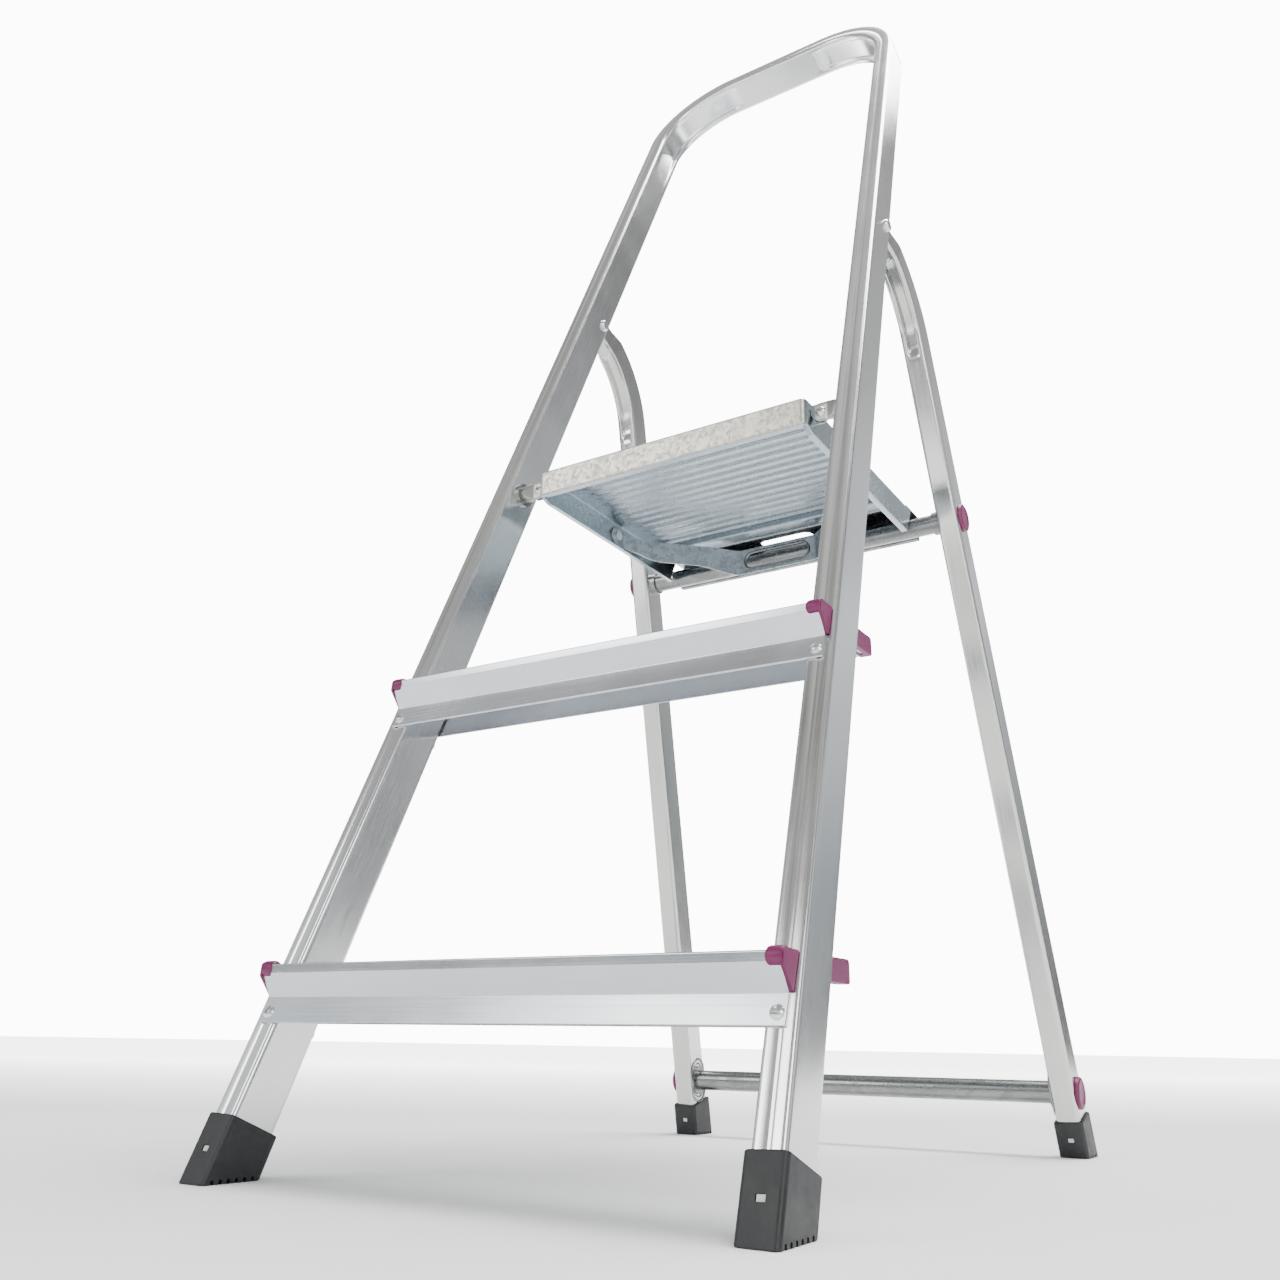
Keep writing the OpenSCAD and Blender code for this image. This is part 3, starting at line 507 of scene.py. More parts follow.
STILE_TURN = (LEAN, 0, 0)
LEG_TILT = (-REAR_LEAN, 0, 0)
LEVEL = (0, 0, 0)
TUBE = drawn_aluminium("tube_aluminium", (0.77, 0.775, 0.78), STILE_TURN, "z")
LEG = drawn_aluminium("leg_aluminium", (0.66, 0.655, 0.64), LEG_TILT, "z", (0.12, 0.24), 0.6)
STEP = drawn_aluminium("step_aluminium", (0.68, 0.71, 0.75), LEVEL, "x", (0.16, 0.30), 0.04, 0.85)
# a lighter, rougher copy of the step aluminium for the faces inside the rear box: painted light where those
# faces fall dark
STEP_INSIDE_LIT = drawn_aluminium(
    "step_inside_painted_light_aluminium", (0.86, 0.89, 0.92), LEVEL, "x", (0.30, 0.44), 0.04, 0.55)
DECK = galvanised(
    "deck_zinc", (0.40, 0.455, 0.49), (0.34, 0.395, 0.435), 1.2, 0.4, (0.22, 0.32), 0.12)
# a darker copy of the deck zinc for the rear rail's lower faces: painted shade
RAIL_SHADE = galvanised(
    "rail_painted_shade_zinc", (0.20, 0.215, 0.225), (0.12, 0.13, 0.14), 0.9, 0.8, (0.28, 0.42), 0.1)
# a lighter, warmer copy of the deck zinc for the lip's front face: painted light, with the sheet's own
# coarser spangle
LIP_LIT = galvanised(
    "lip_painted_light_zinc", (0.64, 0.63, 0.565), (0.46, 0.45, 0.39), 1.9, 1.2, (0.34, 0.50), 0.12, 2.3)
LEVER = galvanised(
    "lever_zinc", (0.42, 0.455, 0.475), (0.28, 0.315, 0.34), 1.6, 1.1, (0.28, 0.44), 0.12, 1.8)
# near-black steel for the slot rims: painted shade along the slots' edges
RIM_SHADE = turned_steel("rim_painted_shade_steel", (0.16, 0.17, 0.18), (0.26, 0.42))
BAR = turned_steel("bar_steel", (0.27, 0.28, 0.28))
PIVOT = turned_steel("pivot_steel", (0.42, 0.43, 0.40), (0.24, 0.42))
RIVET = turned_steel("rivet_steel", (0.80, 0.80, 0.80), (0.16, 0.30))
MAGENTA = moulded(
    "magenta_plastic", (0.125, 0.003, 0.058), (0.175, 0.006, 0.082), (0.32, 0.46), 1400, 0.00010)
CHARCOAL = moulded(
    "charcoal_plastic", (0.006, 0.007, 0.008), (0.015, 0.017, 0.019), (0.36, 0.54), 900, 0.00022)
CLIP = moulded(
    "clip_plastic", (0.52, 0.54, 0.54), (0.70, 0.72, 0.72), (0.30, 0.45), 1400, 0.00008)


# ---- Front tube: one rounded section carried round the hoop ----
STILE_CORNER = 3.4
# How deep the bends' inner wall is pressed in, and how far that runs past each bend
PRESS_DEPTH, PRESS_RUN = 4.6, 12


def hoop_stations():
    """Middle line of the hoop from the right foot to the left: x, s, outward normal, pressing 0..1."""
    c_s = HOOP_TOP - HOOP_R
    c_x = FOOT_HALF - c_s * tan(SPLAY) - HOOP_R / cos(SPLAY)
    r = HOOP_R - STILE_W / 2
    arc = pi / 2 - SPLAY
    half_arc = r * arc / 2
    right = []
    out = (cos(SPLAY), sin(SPLAY))
    start = (c_x + r * out[0], c_s + r * out[1])
    length = start[1] / cos(SPLAY)
    n, close = 34, 6
    for i in range(n):
        d = length * (1 - i / n) if i < n - close else length / n * close * (1 - (i - n + close) / close)
        press = fade(-d, -PRESS_RUN, -2)
        right.append((start[0] + d * sin(SPLAY), start[1] - d * cos(SPLAY), out, press))
    steps = 56
    for i in range(steps + 1):
        a = SPLAY + arc * i / steps
        d = abs(r * arc * (i / steps) - half_arc)
        press = fade(-d, -half_arc - PRESS_RUN, -half_arc + 8)
        right.append((c_x + r * cos(a), c_s + r * sin(a), (cos(a), sin(a)), press))
    for d in (3, 7, 11, 15, 22, 34, 50):
        if d < c_x - 2:
            right.append((c_x - d, c_s + r, (0.0, 1.0), fade(-d, -PRESS_RUN, 8)))
    left = [(-x, s, (-nrm[0], nrm[1]), k) for x, s, nrm, k in reversed(right)]
    return right + left


def tube_section():
    """[across, back] points of the outer skin: rounded corners and a shallow groove front and back."""
    w, d, r = STILE_W / 2, STILE_D / 2, STILE_CORNER
    groove = [(-2.6, 0), (-1.5, 0.55), (-0.5, 0.55), (0.5, 0.55), (1.5, 0.55), (2.6, 0)]
    front = [Vector((a, -d + g)) for a, g in groove]
    back = [Vector((-a, d - g)) for a, g in groove]
    c0, c1, c2, c3 = quarters(box_section(STILE_W, STILE_D, r, 6))
    outer = [Vector((w, t)) for t in (-11, 0, 11)]
    inner = [Vector((-w, d - r - (2 * d - 2 * r) * i / 30)) for i in range(1, 30)]
    return c0 + front + c1 + outer + c2 + back + c3 + inner


def make_tube():
    b = Build()
    skin = tube_section()
    bore = box_section(STILE_W - 2 * STILE_WALL, STILE_D - 2 * STILE_WALL, 2.2, 4)
    stations = hoop_stations()
    for pts, inside in ((skin, False), (bore, True)):
        rings = []
        for i, (x, s, nrm, press) in enumerate(stations):
            ring = []
            for p in pts:
                a, t = p.x, p.y + STILE_D / 2
                if a < 0:
                    off = abs(t - STILE_D / 2)
                    dip = (1 - fade(off, 11.0, 14.2)) * (0.86 + 0.14 * cos(pi * off / 28))
                    a += PRESS_DEPTH * press * dip * (1 if inside else 0.5 - 0.5 * a / (STILE_W / 2))
                px, ps = x + nrm[0] * a, s + nrm[1] * a
                if i in (0, len(stations) - 1):
                    # the foot is cut level, on the boot's sole
                    ps_cut = (SOLE_T + t * sin(LEAN)) / cos(LEAN)
                    px += (ps - ps_cut) * tan(SPLAY) * (1 if x > 0 else -1)
                    ps = ps_cut
                ring.append(hoop_point(px, t, ps))
            rings.append(ring)
        b.loft(rings)
    ob = b.object("front_tube", [TUBE])
    # the window in each stile's rear wall that the leg's end turns in
    reach = STILE_D - HINGE_T
    half = LEG_END_D / 2
    low = reach * tan(LEAN + REAR_LEAN) + half / cos(LEAN + REAR_LEAN) + 2
    hinge = HINGE_S / cos(SPLAY)
    gap = STILE_WALL + 0.2
    cut(ob, *[
        cutter_box(on_stile(side), (-STILE_W + gap, STILE_D - 4, hinge - low),
                   (-gap, STILE_D + 4, hinge + half + 2), 4)
        for side, _ in SIDES])
    put(ob, "front_frame", "tube_aluminium", "front_frame_tube")


make_tube()


# ---- Rear legs: a rounded section up the leg, round the bend and into the stile ----
def leg_stations():
    """Middle line in the leg's plane from the foot to the hinge: t, s, heading, groove 0..1, width, depth."""
    out = []
    bend_len = LEG_BEND_R * LEG_TURN

    def groove(d):
        # d runs along the leg from the start of the bend
        return fade(d, -26, -10) * (1 - fade(d, bend_len - 30, bend_len - 12))

    foot = LEG_FOOT_S - 20
    close = 44
    n = 18
    for i in range(n):
        s = foot + (BEND_START_S - close - foot) * i / n
        out.append((LEG_MID_T, s, pi / 2, 0.0, LEG_W, LEG_D))
    n = 16
    for i in range(n):
        s = BEND_START_S - close + close * i / n
        out.append((LEG_MID_T, s, pi / 2, groove(s - BEND_START_S), LEG_W, LEG_D))
    cx = LEG_MID_T - LEG_BEND_R
    stub = LEG_MID_T / sin(LEG_TURN) - LEG_BEND_R * tan(LEG_TURN / 2)
    for i in range(41):
        a = LEG_TURN * i / 40
        u = stub + LEG_BEND_R * (LEG_TURN - a)
        out.append((cx + LEG_BEND_R * cos(a), BEND_START_S + LEG_BEND_R * sin(a), pi / 2 + a,
                    groove(LEG_BEND_R * a), *squeeze(u)))
    head = pi / 2 + LEG_TURN
    for i in range(1, 9):
        u = stub * (1 - i / 8)
        out.append((-u * cos(head), -u * sin(head), head, 0.0, *squeeze(u)))
    half = LEG_END_D / 2
    for i in range(1, 13):
        a = pi / 2 * i / 12 * 0.97
        u = half * sin(a)
        out.append((u * cos(head), u * sin(head), head, 0.0, LEG_END_W, 2 * half * cos(a)))
    return out


def squeeze(u):
    """The leg's width and depth at u before the hinge: pressed narrow to fit the stile."""
    k = fade(u, 12, 36)
    return LEG_END_W + (LEG_W - LEG_END_W) * k, LEG_END_D + (LEG_D - LEG_END_D) * k


def make_leg(side, name):
    groove_depth = 5.2
    rings = []
    for i, (t, s, head, groove, w, d) in enumerate(leg_stations()):
        r = min(3.6, d * 0.3, w * 0.3)
        c0, c1, c2, c3 = quarters(box_section(w, d, r, 5))
        front = [Vector((-w / 2 + r + (w - 2 * r) * j / 22, -d / 2)) for j in range(1, 22)]
        ring = []
        nt, ns = sin(head), -cos(head)
        for p in c0 + front + c1 + c2 + c3:
            x, q = p.x, p.y
            if q < -d / 2 + 0.01:
                q += groove_depth * groove * (1 - fade(abs(x), 3.2, 6.6))
            pt, ps = t + nt * q, s + ns * q
            if i == 0:
                ps = leg_s(x, pt, SOLE_T)
            ring.append(leg_point(x, pt, ps, side))
        rings.append(ring)
    b = Build()
    b.loft(rings)
    put(b.object(name, [LEG]), "rear_frame", "tube_aluminium", "rear_" + name)


for side, word in SIDES:
    make_leg(side, "leg_" + word)


# ---- Steps ----
NOSE, TAIL, LIP_H, CREASE, WEB_DROP = 11.5, 30, 6.5, 22.5, 40
TREAD_T, WEB_T, TAIL_H, STEP_INSET = 3.2, 1.8, 13.5, 6.5
CHAMFER = (9, 4.5)
TREAD_GROOVE_PITCH = 6


def back_y(z):
    return STILE_D / cos(LEAN) + stile_y(z)


def step_half(h):
    return half_at(stile_y(h - CREASE), h - CREASE) - STEP_INSET


def step_loops():
    nose = stile_y(-CREASE) - NOSE
    tail = back_y(0) + TAIL
    web = WEB_T / cos(LEAN)
    k = (stile_y(-CREASE) - web - nose) / (CREASE - LIP_H)
    slant = WEB_T * sqrt(1 + k * k)
    knee = (nose - LIP_H * k + slant) / (tan(LEAN) + k)
    chin = -LIP_H + (slant - WEB_T) / k
    top = []
    y = tail - CHAMFER[0] - 4
    while y > nose + 6:
        # each groove has rounded flanks and leaves a rib between it and the next
        top += [(y, 0, 0.35), (y - 0.4, -1.0, 0.3), (y - 1.7, -1.0, 0.3), (y - 2.1, 0, 0.35)]
        y -= TREAD_GROOVE_PITCH
    outer = [
        (nose, 0, 1.2), (nose, -LIP_H, 0.9),
        (stile_y(-CREASE) - web, -CREASE, 1.4),
        (stile_y(-WEB_DROP) - web, -WEB_DROP, 0.7), (stile_y(-WEB_DROP), -WEB_DROP, 0.5),
        (stile_y(knee), knee, 0.6), (nose + WEB_T, chin, 0.4), (nose + WEB_T, -TREAD_T, 0.6),
        (back_y(-TREAD_T), -TREAD_T, 0.8), (back_y(-WEB_DROP), -WEB_DROP, 0.5),
        (back_y(-WEB_DROP) + web, -WEB_DROP, 0.7), (back_y(-TAIL_H) + web, -TAIL_H, 0.8),
        (tail, -TAIL_H, 1.2), (tail, -CHAMFER[1], 1.5), (tail - CHAMFER[0], 0, 1.5)] + top
    hollow = [
        (back_y(-TREAD_T) + web, -TREAD_T, 0.8), (tail - CHAMFER[0], -TREAD_T, 0.8),
        (tail - WEB_T, -CHAMFER[1] - 0.5, 0.8), (tail - WEB_T, -TAIL_H + WEB_T, 0.6),
        (back_y(WEB_T - TAIL_H) + web, -TAIL_H + WEB_T, 0.6)]
    return [rounded_polygon(outer, 3), rounded_polygon(hollow, 3)]


def at_tread(h, side=1):
    return lambda x, y, z: row(side * x, stile_y(h) + y, h + z)


def stile_cutter(side, low, high):
    """The room that a stile takes, from low to high along it."""
    return cutter_box(on_stile(side), (-STILE_W - 0.3, -0.02, low), (3 * STILE_W, STILE_D + 0.02, high))


def make_step(name, h):
    end = step_half(h)
    ob = outline_prism(name + "_extrusion", step_loops(), -end, end, [STEP, STEP_INSIDE_LIT], at_tread(h))
    cut(ob, *[stile_cutter(side, h - 90, h + 120) for side, _ in SIDES])
    # faces on the inside of the step's rear box take the lighter copy: painted light
    for f in ob.data.polygons:
        inside = f.center.y > row(0, stile_y(h) + 8, 0).y and f.center.z < (h - TREAD_T - 1) * MM
        f.material_index = 1 if inside and f.normal.y < -0.5 else 0
    put(ob, "front_frame", "step_aluminium", name)


def front_cap(side, h, node):
    """A flat plate over the step's end, with a round nub along the nose."""
    nose = stile_y(-CREASE) - NOSE
    plate = rounded_polygon([
        (nose, 1.6, 2.5), (-0.3, 0.8, 0.8), (stile_y(-CREASE) - 0.3, -CREASE, 0.8),
        (nose - 0.8, -LIP_H - 1.5, 1.5)], 4)
    end = step_half(h)
    ob = outline_prism(node + "_moulding", [plate], end, end + 2.2, [MAGENTA], at_tread(h, side))
    bevel(ob, 0.6)
    b = Build()
    profile = [
        (end - 10, 3.6), (end - 9.6, 4.6), (end - 8.8, 5.5), (end - 7.4, 6.0),
        (end + 0.6, 6.0), (end + 1.4, 5.5), (end + 1.6, 4.2)]
    lathe_x(b, profile, nose + 4.4, -3.4, 1, 36, at_tread(h, side))
    nub = b.object(node + "_nub", [MAGENTA])
    put(ob, "front_frame", "magenta_plastic", node)
    put(nub, "front_frame", "magenta_plastic")


def rear_cap(side, h, node):
    """A rounded moulding that sleeves the end of the step's rear box."""
    tail = back_y(0) + TAIL
    shell = rounded_polygon([
        (back_y(0) + 0.4, 0.6, 0.8), (tail + 0.6, 0.6, 2.8),
        (tail + 0.6, -TAIL_H - 0.7, 1.6), (back_y(-TAIL_H) + 0.4, -TAIL_H - 0.7, 0.8)], 5)
    end = step_half(h)
    ob = outline_prism(node + "_moulding", [shell], end - 7.5, end + 1.6, [MAGENTA], at_tread(h, side))
    bevel(ob, 0.7)
    cut(ob, stile_cutter(side, h - 60, h + 90))
    # the drain slot in the moulding's underside
    cut(ob, cutter_box(at_tread(h, side), (end - 5.2, back_y(-TAIL_H) + 8, -TAIL_H - 3),
                       (end - 2.4, tail - 7, -TAIL_H + 0.4)))
    put(ob, "front_frame", "magenta_plastic", node)


for step_name, tread_h in (("lower_step", PLATFORM_H - 2 * RISE), ("upper_step", PLATFORM_H - RISE)):
    make_step(step_name, tread_h)
    for side, word in SIDES:
        front_cap(side, tread_h, f"{step_name}_front_cap_{word}")
        rear_cap(side, tread_h, f"{step_name}_rear_cap_{word}")


# ---- Boots ----
NOTCH_HALF, NOTCH_H, NOTCH_PITCH = 1.3, 3.2, 6.6


def make_boot(name, place, solve, w, d, x_mid, t_mid, top_s, clip, body, node, notches):
    """A moulded cup: level sole, rounded edges, square top across the tube."""
    b = Build()
    wall = BOOT_WALL

    def ring(grow, level=None, s=None, r=3.2):
        """The outline grown by grow, either level with the floor or square across at s."""
        out = []
        for p in box_section(w + 2 * grow, d + 2 * grow, r, 5):
            x, t = x_mid + p.x, t_mid + p.y
            out.append(place(x, t, solve(x, t, level) if s is None else s))
        return out

    b.loft([
        ring(wall - 1.2, level=0.0, r=3.0), ring(wall - 0.25, level=0.35), ring(wall, level=1.3),
        ring(wall, s=top_s - 1.2), ring(wall - 0.3, s=top_s - 0.3), ring(wall - 0.9, s=top_s, r=3.0),
        ring(0.35, s=top_s, r=2.6), ring(0.12, s=top_s - 0.3, r=2.6), ring(0.12, s=top_s - 7, r=2.6)])
    ob = b.object(name, [CHARCOAL])
    cx, ct, cs = clip
    cutters = [cutter_box(
        place, (cx - 2.9, ct - 4, cs - 2.1), (cx + 2.9, ct + wall - 0.4, cs + 2.1), 0.7)]
    mid = place(x_mid, t_mid, top_s).x / MM
    for y in notches:
        # short round-topped notches along the sole, cut through from side to side
        b = Build()
        y0, y1 = y - NOTCH_HALF, y + NOTCH_HALF
        pts = rounded_polygon([(y0, -2), (y1, -2), (y1, NOTCH_H, 1.2), (y0, NOTCH_H, 1.2)], 4)
        b.loft([[row(x, p.x, p.y) for p in pts] for x in (mid - w, mid + w)])
        cutters.append(b.object("cutter", []))
    cut(ob, *cutters, angle=30)
    put(ob, body, "charcoal_plastic", node)


for side, word in SIDES:
    make_boot(
        f"front_shoe_{word}", on_stile(side), stile_s,
        STILE_W, STILE_D, -STILE_W / 2, STILE_D / 2, FRONT_BOOT_H,
        (-STILE_W / 2, -BOOT_WALL, FRONT_BOOT_H / 2), "front_frame", f"front_boot_{word}",
        [5 + NOTCH_PITCH * i for i in range(6)])
    make_boot(
        f"rear_shoe_{word}", on_leg(side), leg_s,
        LEG_W, LEG_D, 0, LEG_MID_T, LEG_FOOT_S + REAR_BOOT_H,
        (0, LEG_FRONT_T - BOOT_WALL, LEG_FOOT_S + REAR_BOOT_H / 2), "rear_frame", f"rear_boot_{word}",
        [FOOT_SPREAD + 3 + NOTCH_PITCH * i for i in range(5)])


# ---- Crossbars and their caps ----
def make_bar(name, z, node):
    b = Build()
    end = leg_half(z) - 0.8
    r = BAR_D / 2
    lathe_x(b, [(-end, r - BAR_WALL), (-end, r), (end, r), (end, r - BAR_WALL)], leg_y(z), z, 1, 64)
    put(b.object(name, [BAR]), "rear_frame", "steel_tube", node)


def make_bar_cap(side, z, node):
    """A round moulded plug with a raised rim and a dished middle."""
    b = Build()
    x0 = leg_half(z) - 0.6
    profile = [
        (x0 - 10, 8.2), (x0, 8.2), (x0, 13.4), (x0 + 0.6, 14.3), (x0 + 2.4, 14.5), (x0 + 3.7, 13.8),
        (x0 + 4.4, 12.4), (x0 + 4.5, 10.6), (x0 + 3.9, 9.2), (x0 + 3.6, 6.0), (x0 + 3.7, 2.0),
        (x0 + 3.8, 0.05)]
    lathe_x(b, profile, leg_y(z), z, side, 56)
    put(b.object(node + "_plug", [MAGENTA]), "rear_frame", "magenta_plastic", node)


def make_oval_collar(side, word):
    """A pressed oval ring on the leg's inner face, round the lower crossbar."""
    face = -LEG_W / 2
    mid_s = leg_s(face, LEG_MID_T, LOW_BAR_H)
    b = Build()
    for grow, high, wide in ((0.0, 1.0, 1.5), (-4.4, 0.8, 1.0)):
        loop = box_section(27 + 2 * grow, 44 + 2 * grow, 13.4 + grow, 12)
        bead(b, loop, wide, high, lambda x, y, up: leg_point(face - up, LEG_MID_T + x, mid_s + y, side))
    # the ring takes the crossbar's dark steel rather than the leg's aluminium: painted shade along the
    # pressed edge
    put(b.object("crossbar_collar_" + word, [BAR]), "rear_frame", "tube_aluminium")


for side, word in SIDES:
    make_oval_collar(side, word)

for bar, z in (("lower_crossbar", LOW_BAR_H), ("upper_crossbar", HIGH_BAR_H)):
    make_bar(bar + "_tube", z, bar)
    for side, word in SIDES:
        make_bar_cap(side, z, f"{bar}_cap_{word}")


# ---- Platform: folded and ribbed sheet ----
PLAT_HALF, PLAT_D = 144, 285
FRONT_LIP_H, FLANGE_H, RAIL_H = 26, 30, 28
FRONT_RETURN, RAIL_RETURN = 7.5, 8
RIB_PITCH, RIB_END = 13, 246
SLOT_L, SLOT_W, SLOT_R = 64, 21, 10.4
BAR_Y = leg_y(HIGH_BAR_H) - LIP_Y
ESCAPE = radians(27)


def escape_y(z):
    """Where the side flange ends at height z, clear of the crossbar as the deck swings up."""
    return BAR_Y - 11.2 / cos(ESCAPE) + (z + 21) * tan(ESCAPE)


def sheet_section(h, ret):
    """Half of a folded edge, [inwards, down]: top, bend, skirt and bottom return, 1.5 thick."""
    outer = rounded_polygon([(12, 0), (0, 0, 2.6), (0, -h, 1.8), (ret, -h)], 5)
    inner = rounded_polygon([
        (ret, -h + SHEET), (SHEET, -h + SHEET, 0.6), (SHEET, -SHEET, 1.1), (12, -SHEET)], 3)
    return outer + inner


def skirt_path():
    """Along the deck's edge from its left rear corner round the front: x, y, inward normal, is an end."""
    rc = 5.5
    path = []
    for i in range(13):
        y = escape_y(0) - (escape_y(0) - 20) * i / 12
        path.append((-PLAT_HALF, y, (1, 0), i == 0))
    path.append((-PLAT_HALF, 14, (1, 0), False))
    for i in range(9):
        a = pi / 2 * i / 8
        path.append((-PLAT_HALF + rc - rc * cos(a), rc - rc * sin(a), (cos(a), sin(a)), False))
    side = list(path)
    for i in range(1, 14):
        path.append((-PLAT_HALF + rc + (2 * PLAT_HALF - 2 * rc) * i / 14, 0, (0, 1), False))
    return path + [(-x, y, (-n[0], n[1]), end) for x, y, n, end in reversed(side)]


def make_deck_skirt():
    """The folded edges: front lip and side flanges."""
    rings = []
    for x, y, n, end in skirt_path():
        h = FRONT_LIP_H + (FLANGE_H - FRONT_LIP_H) * fade(y, 2, 16)
        ret = FRONT_RETURN if y < 0.01 else 4.6 + 1.4 * fade(y, 12, 20)
        ring = []
        for p in sheet_section(h, ret):
            yy = escape_y(min(p.y, -1.0)) if end else y + n[1] * p.x
            ring.append(deck_point(x + n[0] * p.x, yy, p.y))
        rings.append(ring)
    b = Build()
    b.loft(rings)
    ob = b.object("deck_skirt", [DECK, LIP_LIT], 38)
    for f in ob.data.polygons:
        # the lip's outer skin carries a lighter, warmer copy of the zinc, which is painted light on the front
        # face; its coarser spangle is the sheet's own
        if f.center.y < (LIP_Y - MID_Y + 1.5) * MM and f.normal.y < -0.3:
            f.material_index = 1
    put(ob, "platform", "galvanised_steel", "platform_deck")


def slot_cutter(grow=0.0):
    b = Build()
    pts = box_section(SLOT_L + 2 * grow, SLOT_W + 2 * grow, SLOT_R + grow, 10)
    b.loft([[deck_point(p.x, BAR_Y + p.y, z) for p in pts] for z in (-8, 6)])
    return b.object("cutter", [])


def make_deck_plate():
    """The ribbed plate between the folded edges."""
    edge = 3.0
    nx, ny = 46, 420
    verts, faces = [], []
    for top in (True, False):
        for j in range(ny + 1):
            y = edge + (PLAT_D - 2 * edge) * j / ny
            phase = ((y - RIB_PITCH + RIB_PITCH / 2) % RIB_PITCH) / RIB_PITCH - 0.5
            rib = 1 - fade(abs(phase), 0.08, 0.20) if 14 < y < RIB_END else 0.0
            for i in range(nx + 1):
                x = -PLAT_HALF + edge + (2 * PLAT_HALF - 2 * edge) * i / nx
                k = rib * (1 - fade(abs(x), 118, 128))
                z = -0.05 - 0.8 * k if top else 0.05 - SHEET - 2.0 * k
                verts.append(deck_point(x, y, z))
    n = (nx + 1) * (ny + 1)
    for j in range(ny):
        for i in range(nx):
            a = j * (nx + 1) + i
            faces.append([a, a + 1, a + nx + 2, a + nx + 1])
            faces.append([n + a, n + a + nx + 1, n + a + nx + 2, n + a + 1])
    for i in range(nx):
        for base in (0, ny * (nx + 1)):
            a = base + i
            faces.append([a, a + 1, n + a + 1, n + a])
    for j in range(ny):
        for base in (0, nx):
            a = j * (nx + 1) + base
            faces.append([a, a + nx + 1, n + a + nx + 1, n + a])
    b = Build()
    b.add(verts, faces)
    plate = b.object("deck_plate", [DECK], 50)
    put(cut(plate, slot_cutter(0.8), angle=50), "platform", "galvanised_steel")


def make_rear_rail():
    """Plate, bend, wall, return and small upturn."""
    b = Build()
    front, back, tip = 250, PLAT_D, PLAT_D - RAIL_RETURN
    rail = rounded_polygon([
        (front, 0), (back, 0, 2.6), (back, -RAIL_H, 1.8), (tip, -RAIL_H, 1.4), (tip, -22),
        (tip + SHEET, -22), (tip + SHEET, -RAIL_H + SHEET, 0.5), (back - SHEET, -RAIL_H + SHEET, 0.6),
        (back - SHEET, -SHEET, 1.1), (front, -SHEET)], 4)
    b.loft([[deck_point(x, p.x, p.y) for p in rail] for x in (-PLAT_HALF, -60, 0, 60, PLAT_HALF)])
    ob = cut(b.object("deck_rear_rail", [DECK, RAIL_SHADE], 38), slot_cutter(), angle=38)
    # faces below the deck's top take the darker copy: painted shade on the rail's wall and return
    for f in ob.data.polygons:
        f.material_index = 1 if f.center.z < (PLATFORM_H - 5) * MM else 0
    put(ob, "platform", "galvanised_steel")


def make_underside():
    """The stiffening channel under the plate, and the ears that the pivot tubes are riveted to."""
    b = Build()
    y0, y1, low = 210, 228, -10
    ledge = rounded_polygon([
        (y0, -SHEET), (y0, low, 1.8), (y1, low, 1.8), (y1, -SHEET), (y1 - SHEET, -SHEET),
        (y1 - SHEET, low + SHEET, 0.6), (y0 + SHEET, low + SHEET, 0.6), (y0 + SHEET, -SHEET)], 4)
    b.loft([[deck_point(x, p.x, p.y) for p in ledge] for x in (-136, -60, 0, 60, 136)])
    ear_y = PIVOT_Y - LIP_Y
    ear = rounded_polygon([(143, -22), (159, -22, 5), (159, -2, 5), (143, -2)], 5)
    for side, _ in SIDES:
        b.loft([[deck_point(side * p.x, ear_y + t, p.y) for p in ear] for t in (0.0, SHEET)])
    put(b.object("deck_underside", [DECK], 38), "platform", "galvanised_steel")


def make_slot_rim():
    """Rolled rim round the deck's grip slot."""
    b = Build()
    r = 0.9
    loop = box_section(SLOT_L, SLOT_W, SLOT_R, 12)
    # the rim's near-black steel is painted shade along the slot's edge
    bead(b, loop, r, r, lambda x, y, up: deck_point(x, BAR_Y + y, up - SHEET), 10)
    put(b.object("deck_slot_rim", [RIM_SHADE]), "platform", "galvanised_steel")


make_deck_skirt()
make_deck_plate()
make_rear_rail()
make_underside()
make_slot_rim()


def make_pivot(side, node):
    """A tube whose inner end is pressed flat, rounded off and riveted to the deck."""
    b = Build()
    tube_d, lug_h, lug_t, lug_y = 16, 18, 3, -1.5
    lug_x = PLAT_HALF + lug_h / 2 + 0.3
    end = PIVOT_IN_X + STILE_W / 2
    n = 40

    def ring(x, h, t, mid, power):
        """A ring that is round at power 2 and squarer above it."""
        out = []
        for k in range(n):
            a = 2 * pi * k / n
            c, s = cos(a), sin(a)
            y = abs(c) ** (2 / power) * (1 if c >= 0 else -1) * t / 2
            z = abs(s) ** (2 / power) * (1 if s >= 0 else -1) * h / 2
            out.append(row(side * x, PIVOT_Y + mid + y, PIVOT_Z + z))
        return out

    x0, x1 = PIVOT_IN_X - 3, lug_x + 4
    rings = [ring(x, tube_d, tube_d, 0, 2) for x in (end, end - 4, end - 8, x0)]
    for i in range(1, 13):
        k = fade(i, 0, 12)
        rings.append(ring(
            x0 + (x1 - x0) * i / 12, tube_d + (lug_h - tube_d) * k, tube_d + (lug_t - tube_d) * k,
            lug_y * k, 2 + 3 * k))
    for i in range(13):
        a = pi / 2 * i / 12 * 0.97
        rings.append(ring(lug_x - lug_h / 2 * sin(a), lug_h * cos(a), lug_t, lug_y, 5))
    b.loft(rings)
    put(b.object(node + "_tube", [PIVOT]), "platform", "steel_tube", node)


for side, word in SIDES:
    make_pivot(side, "platform_pivot_" + word)


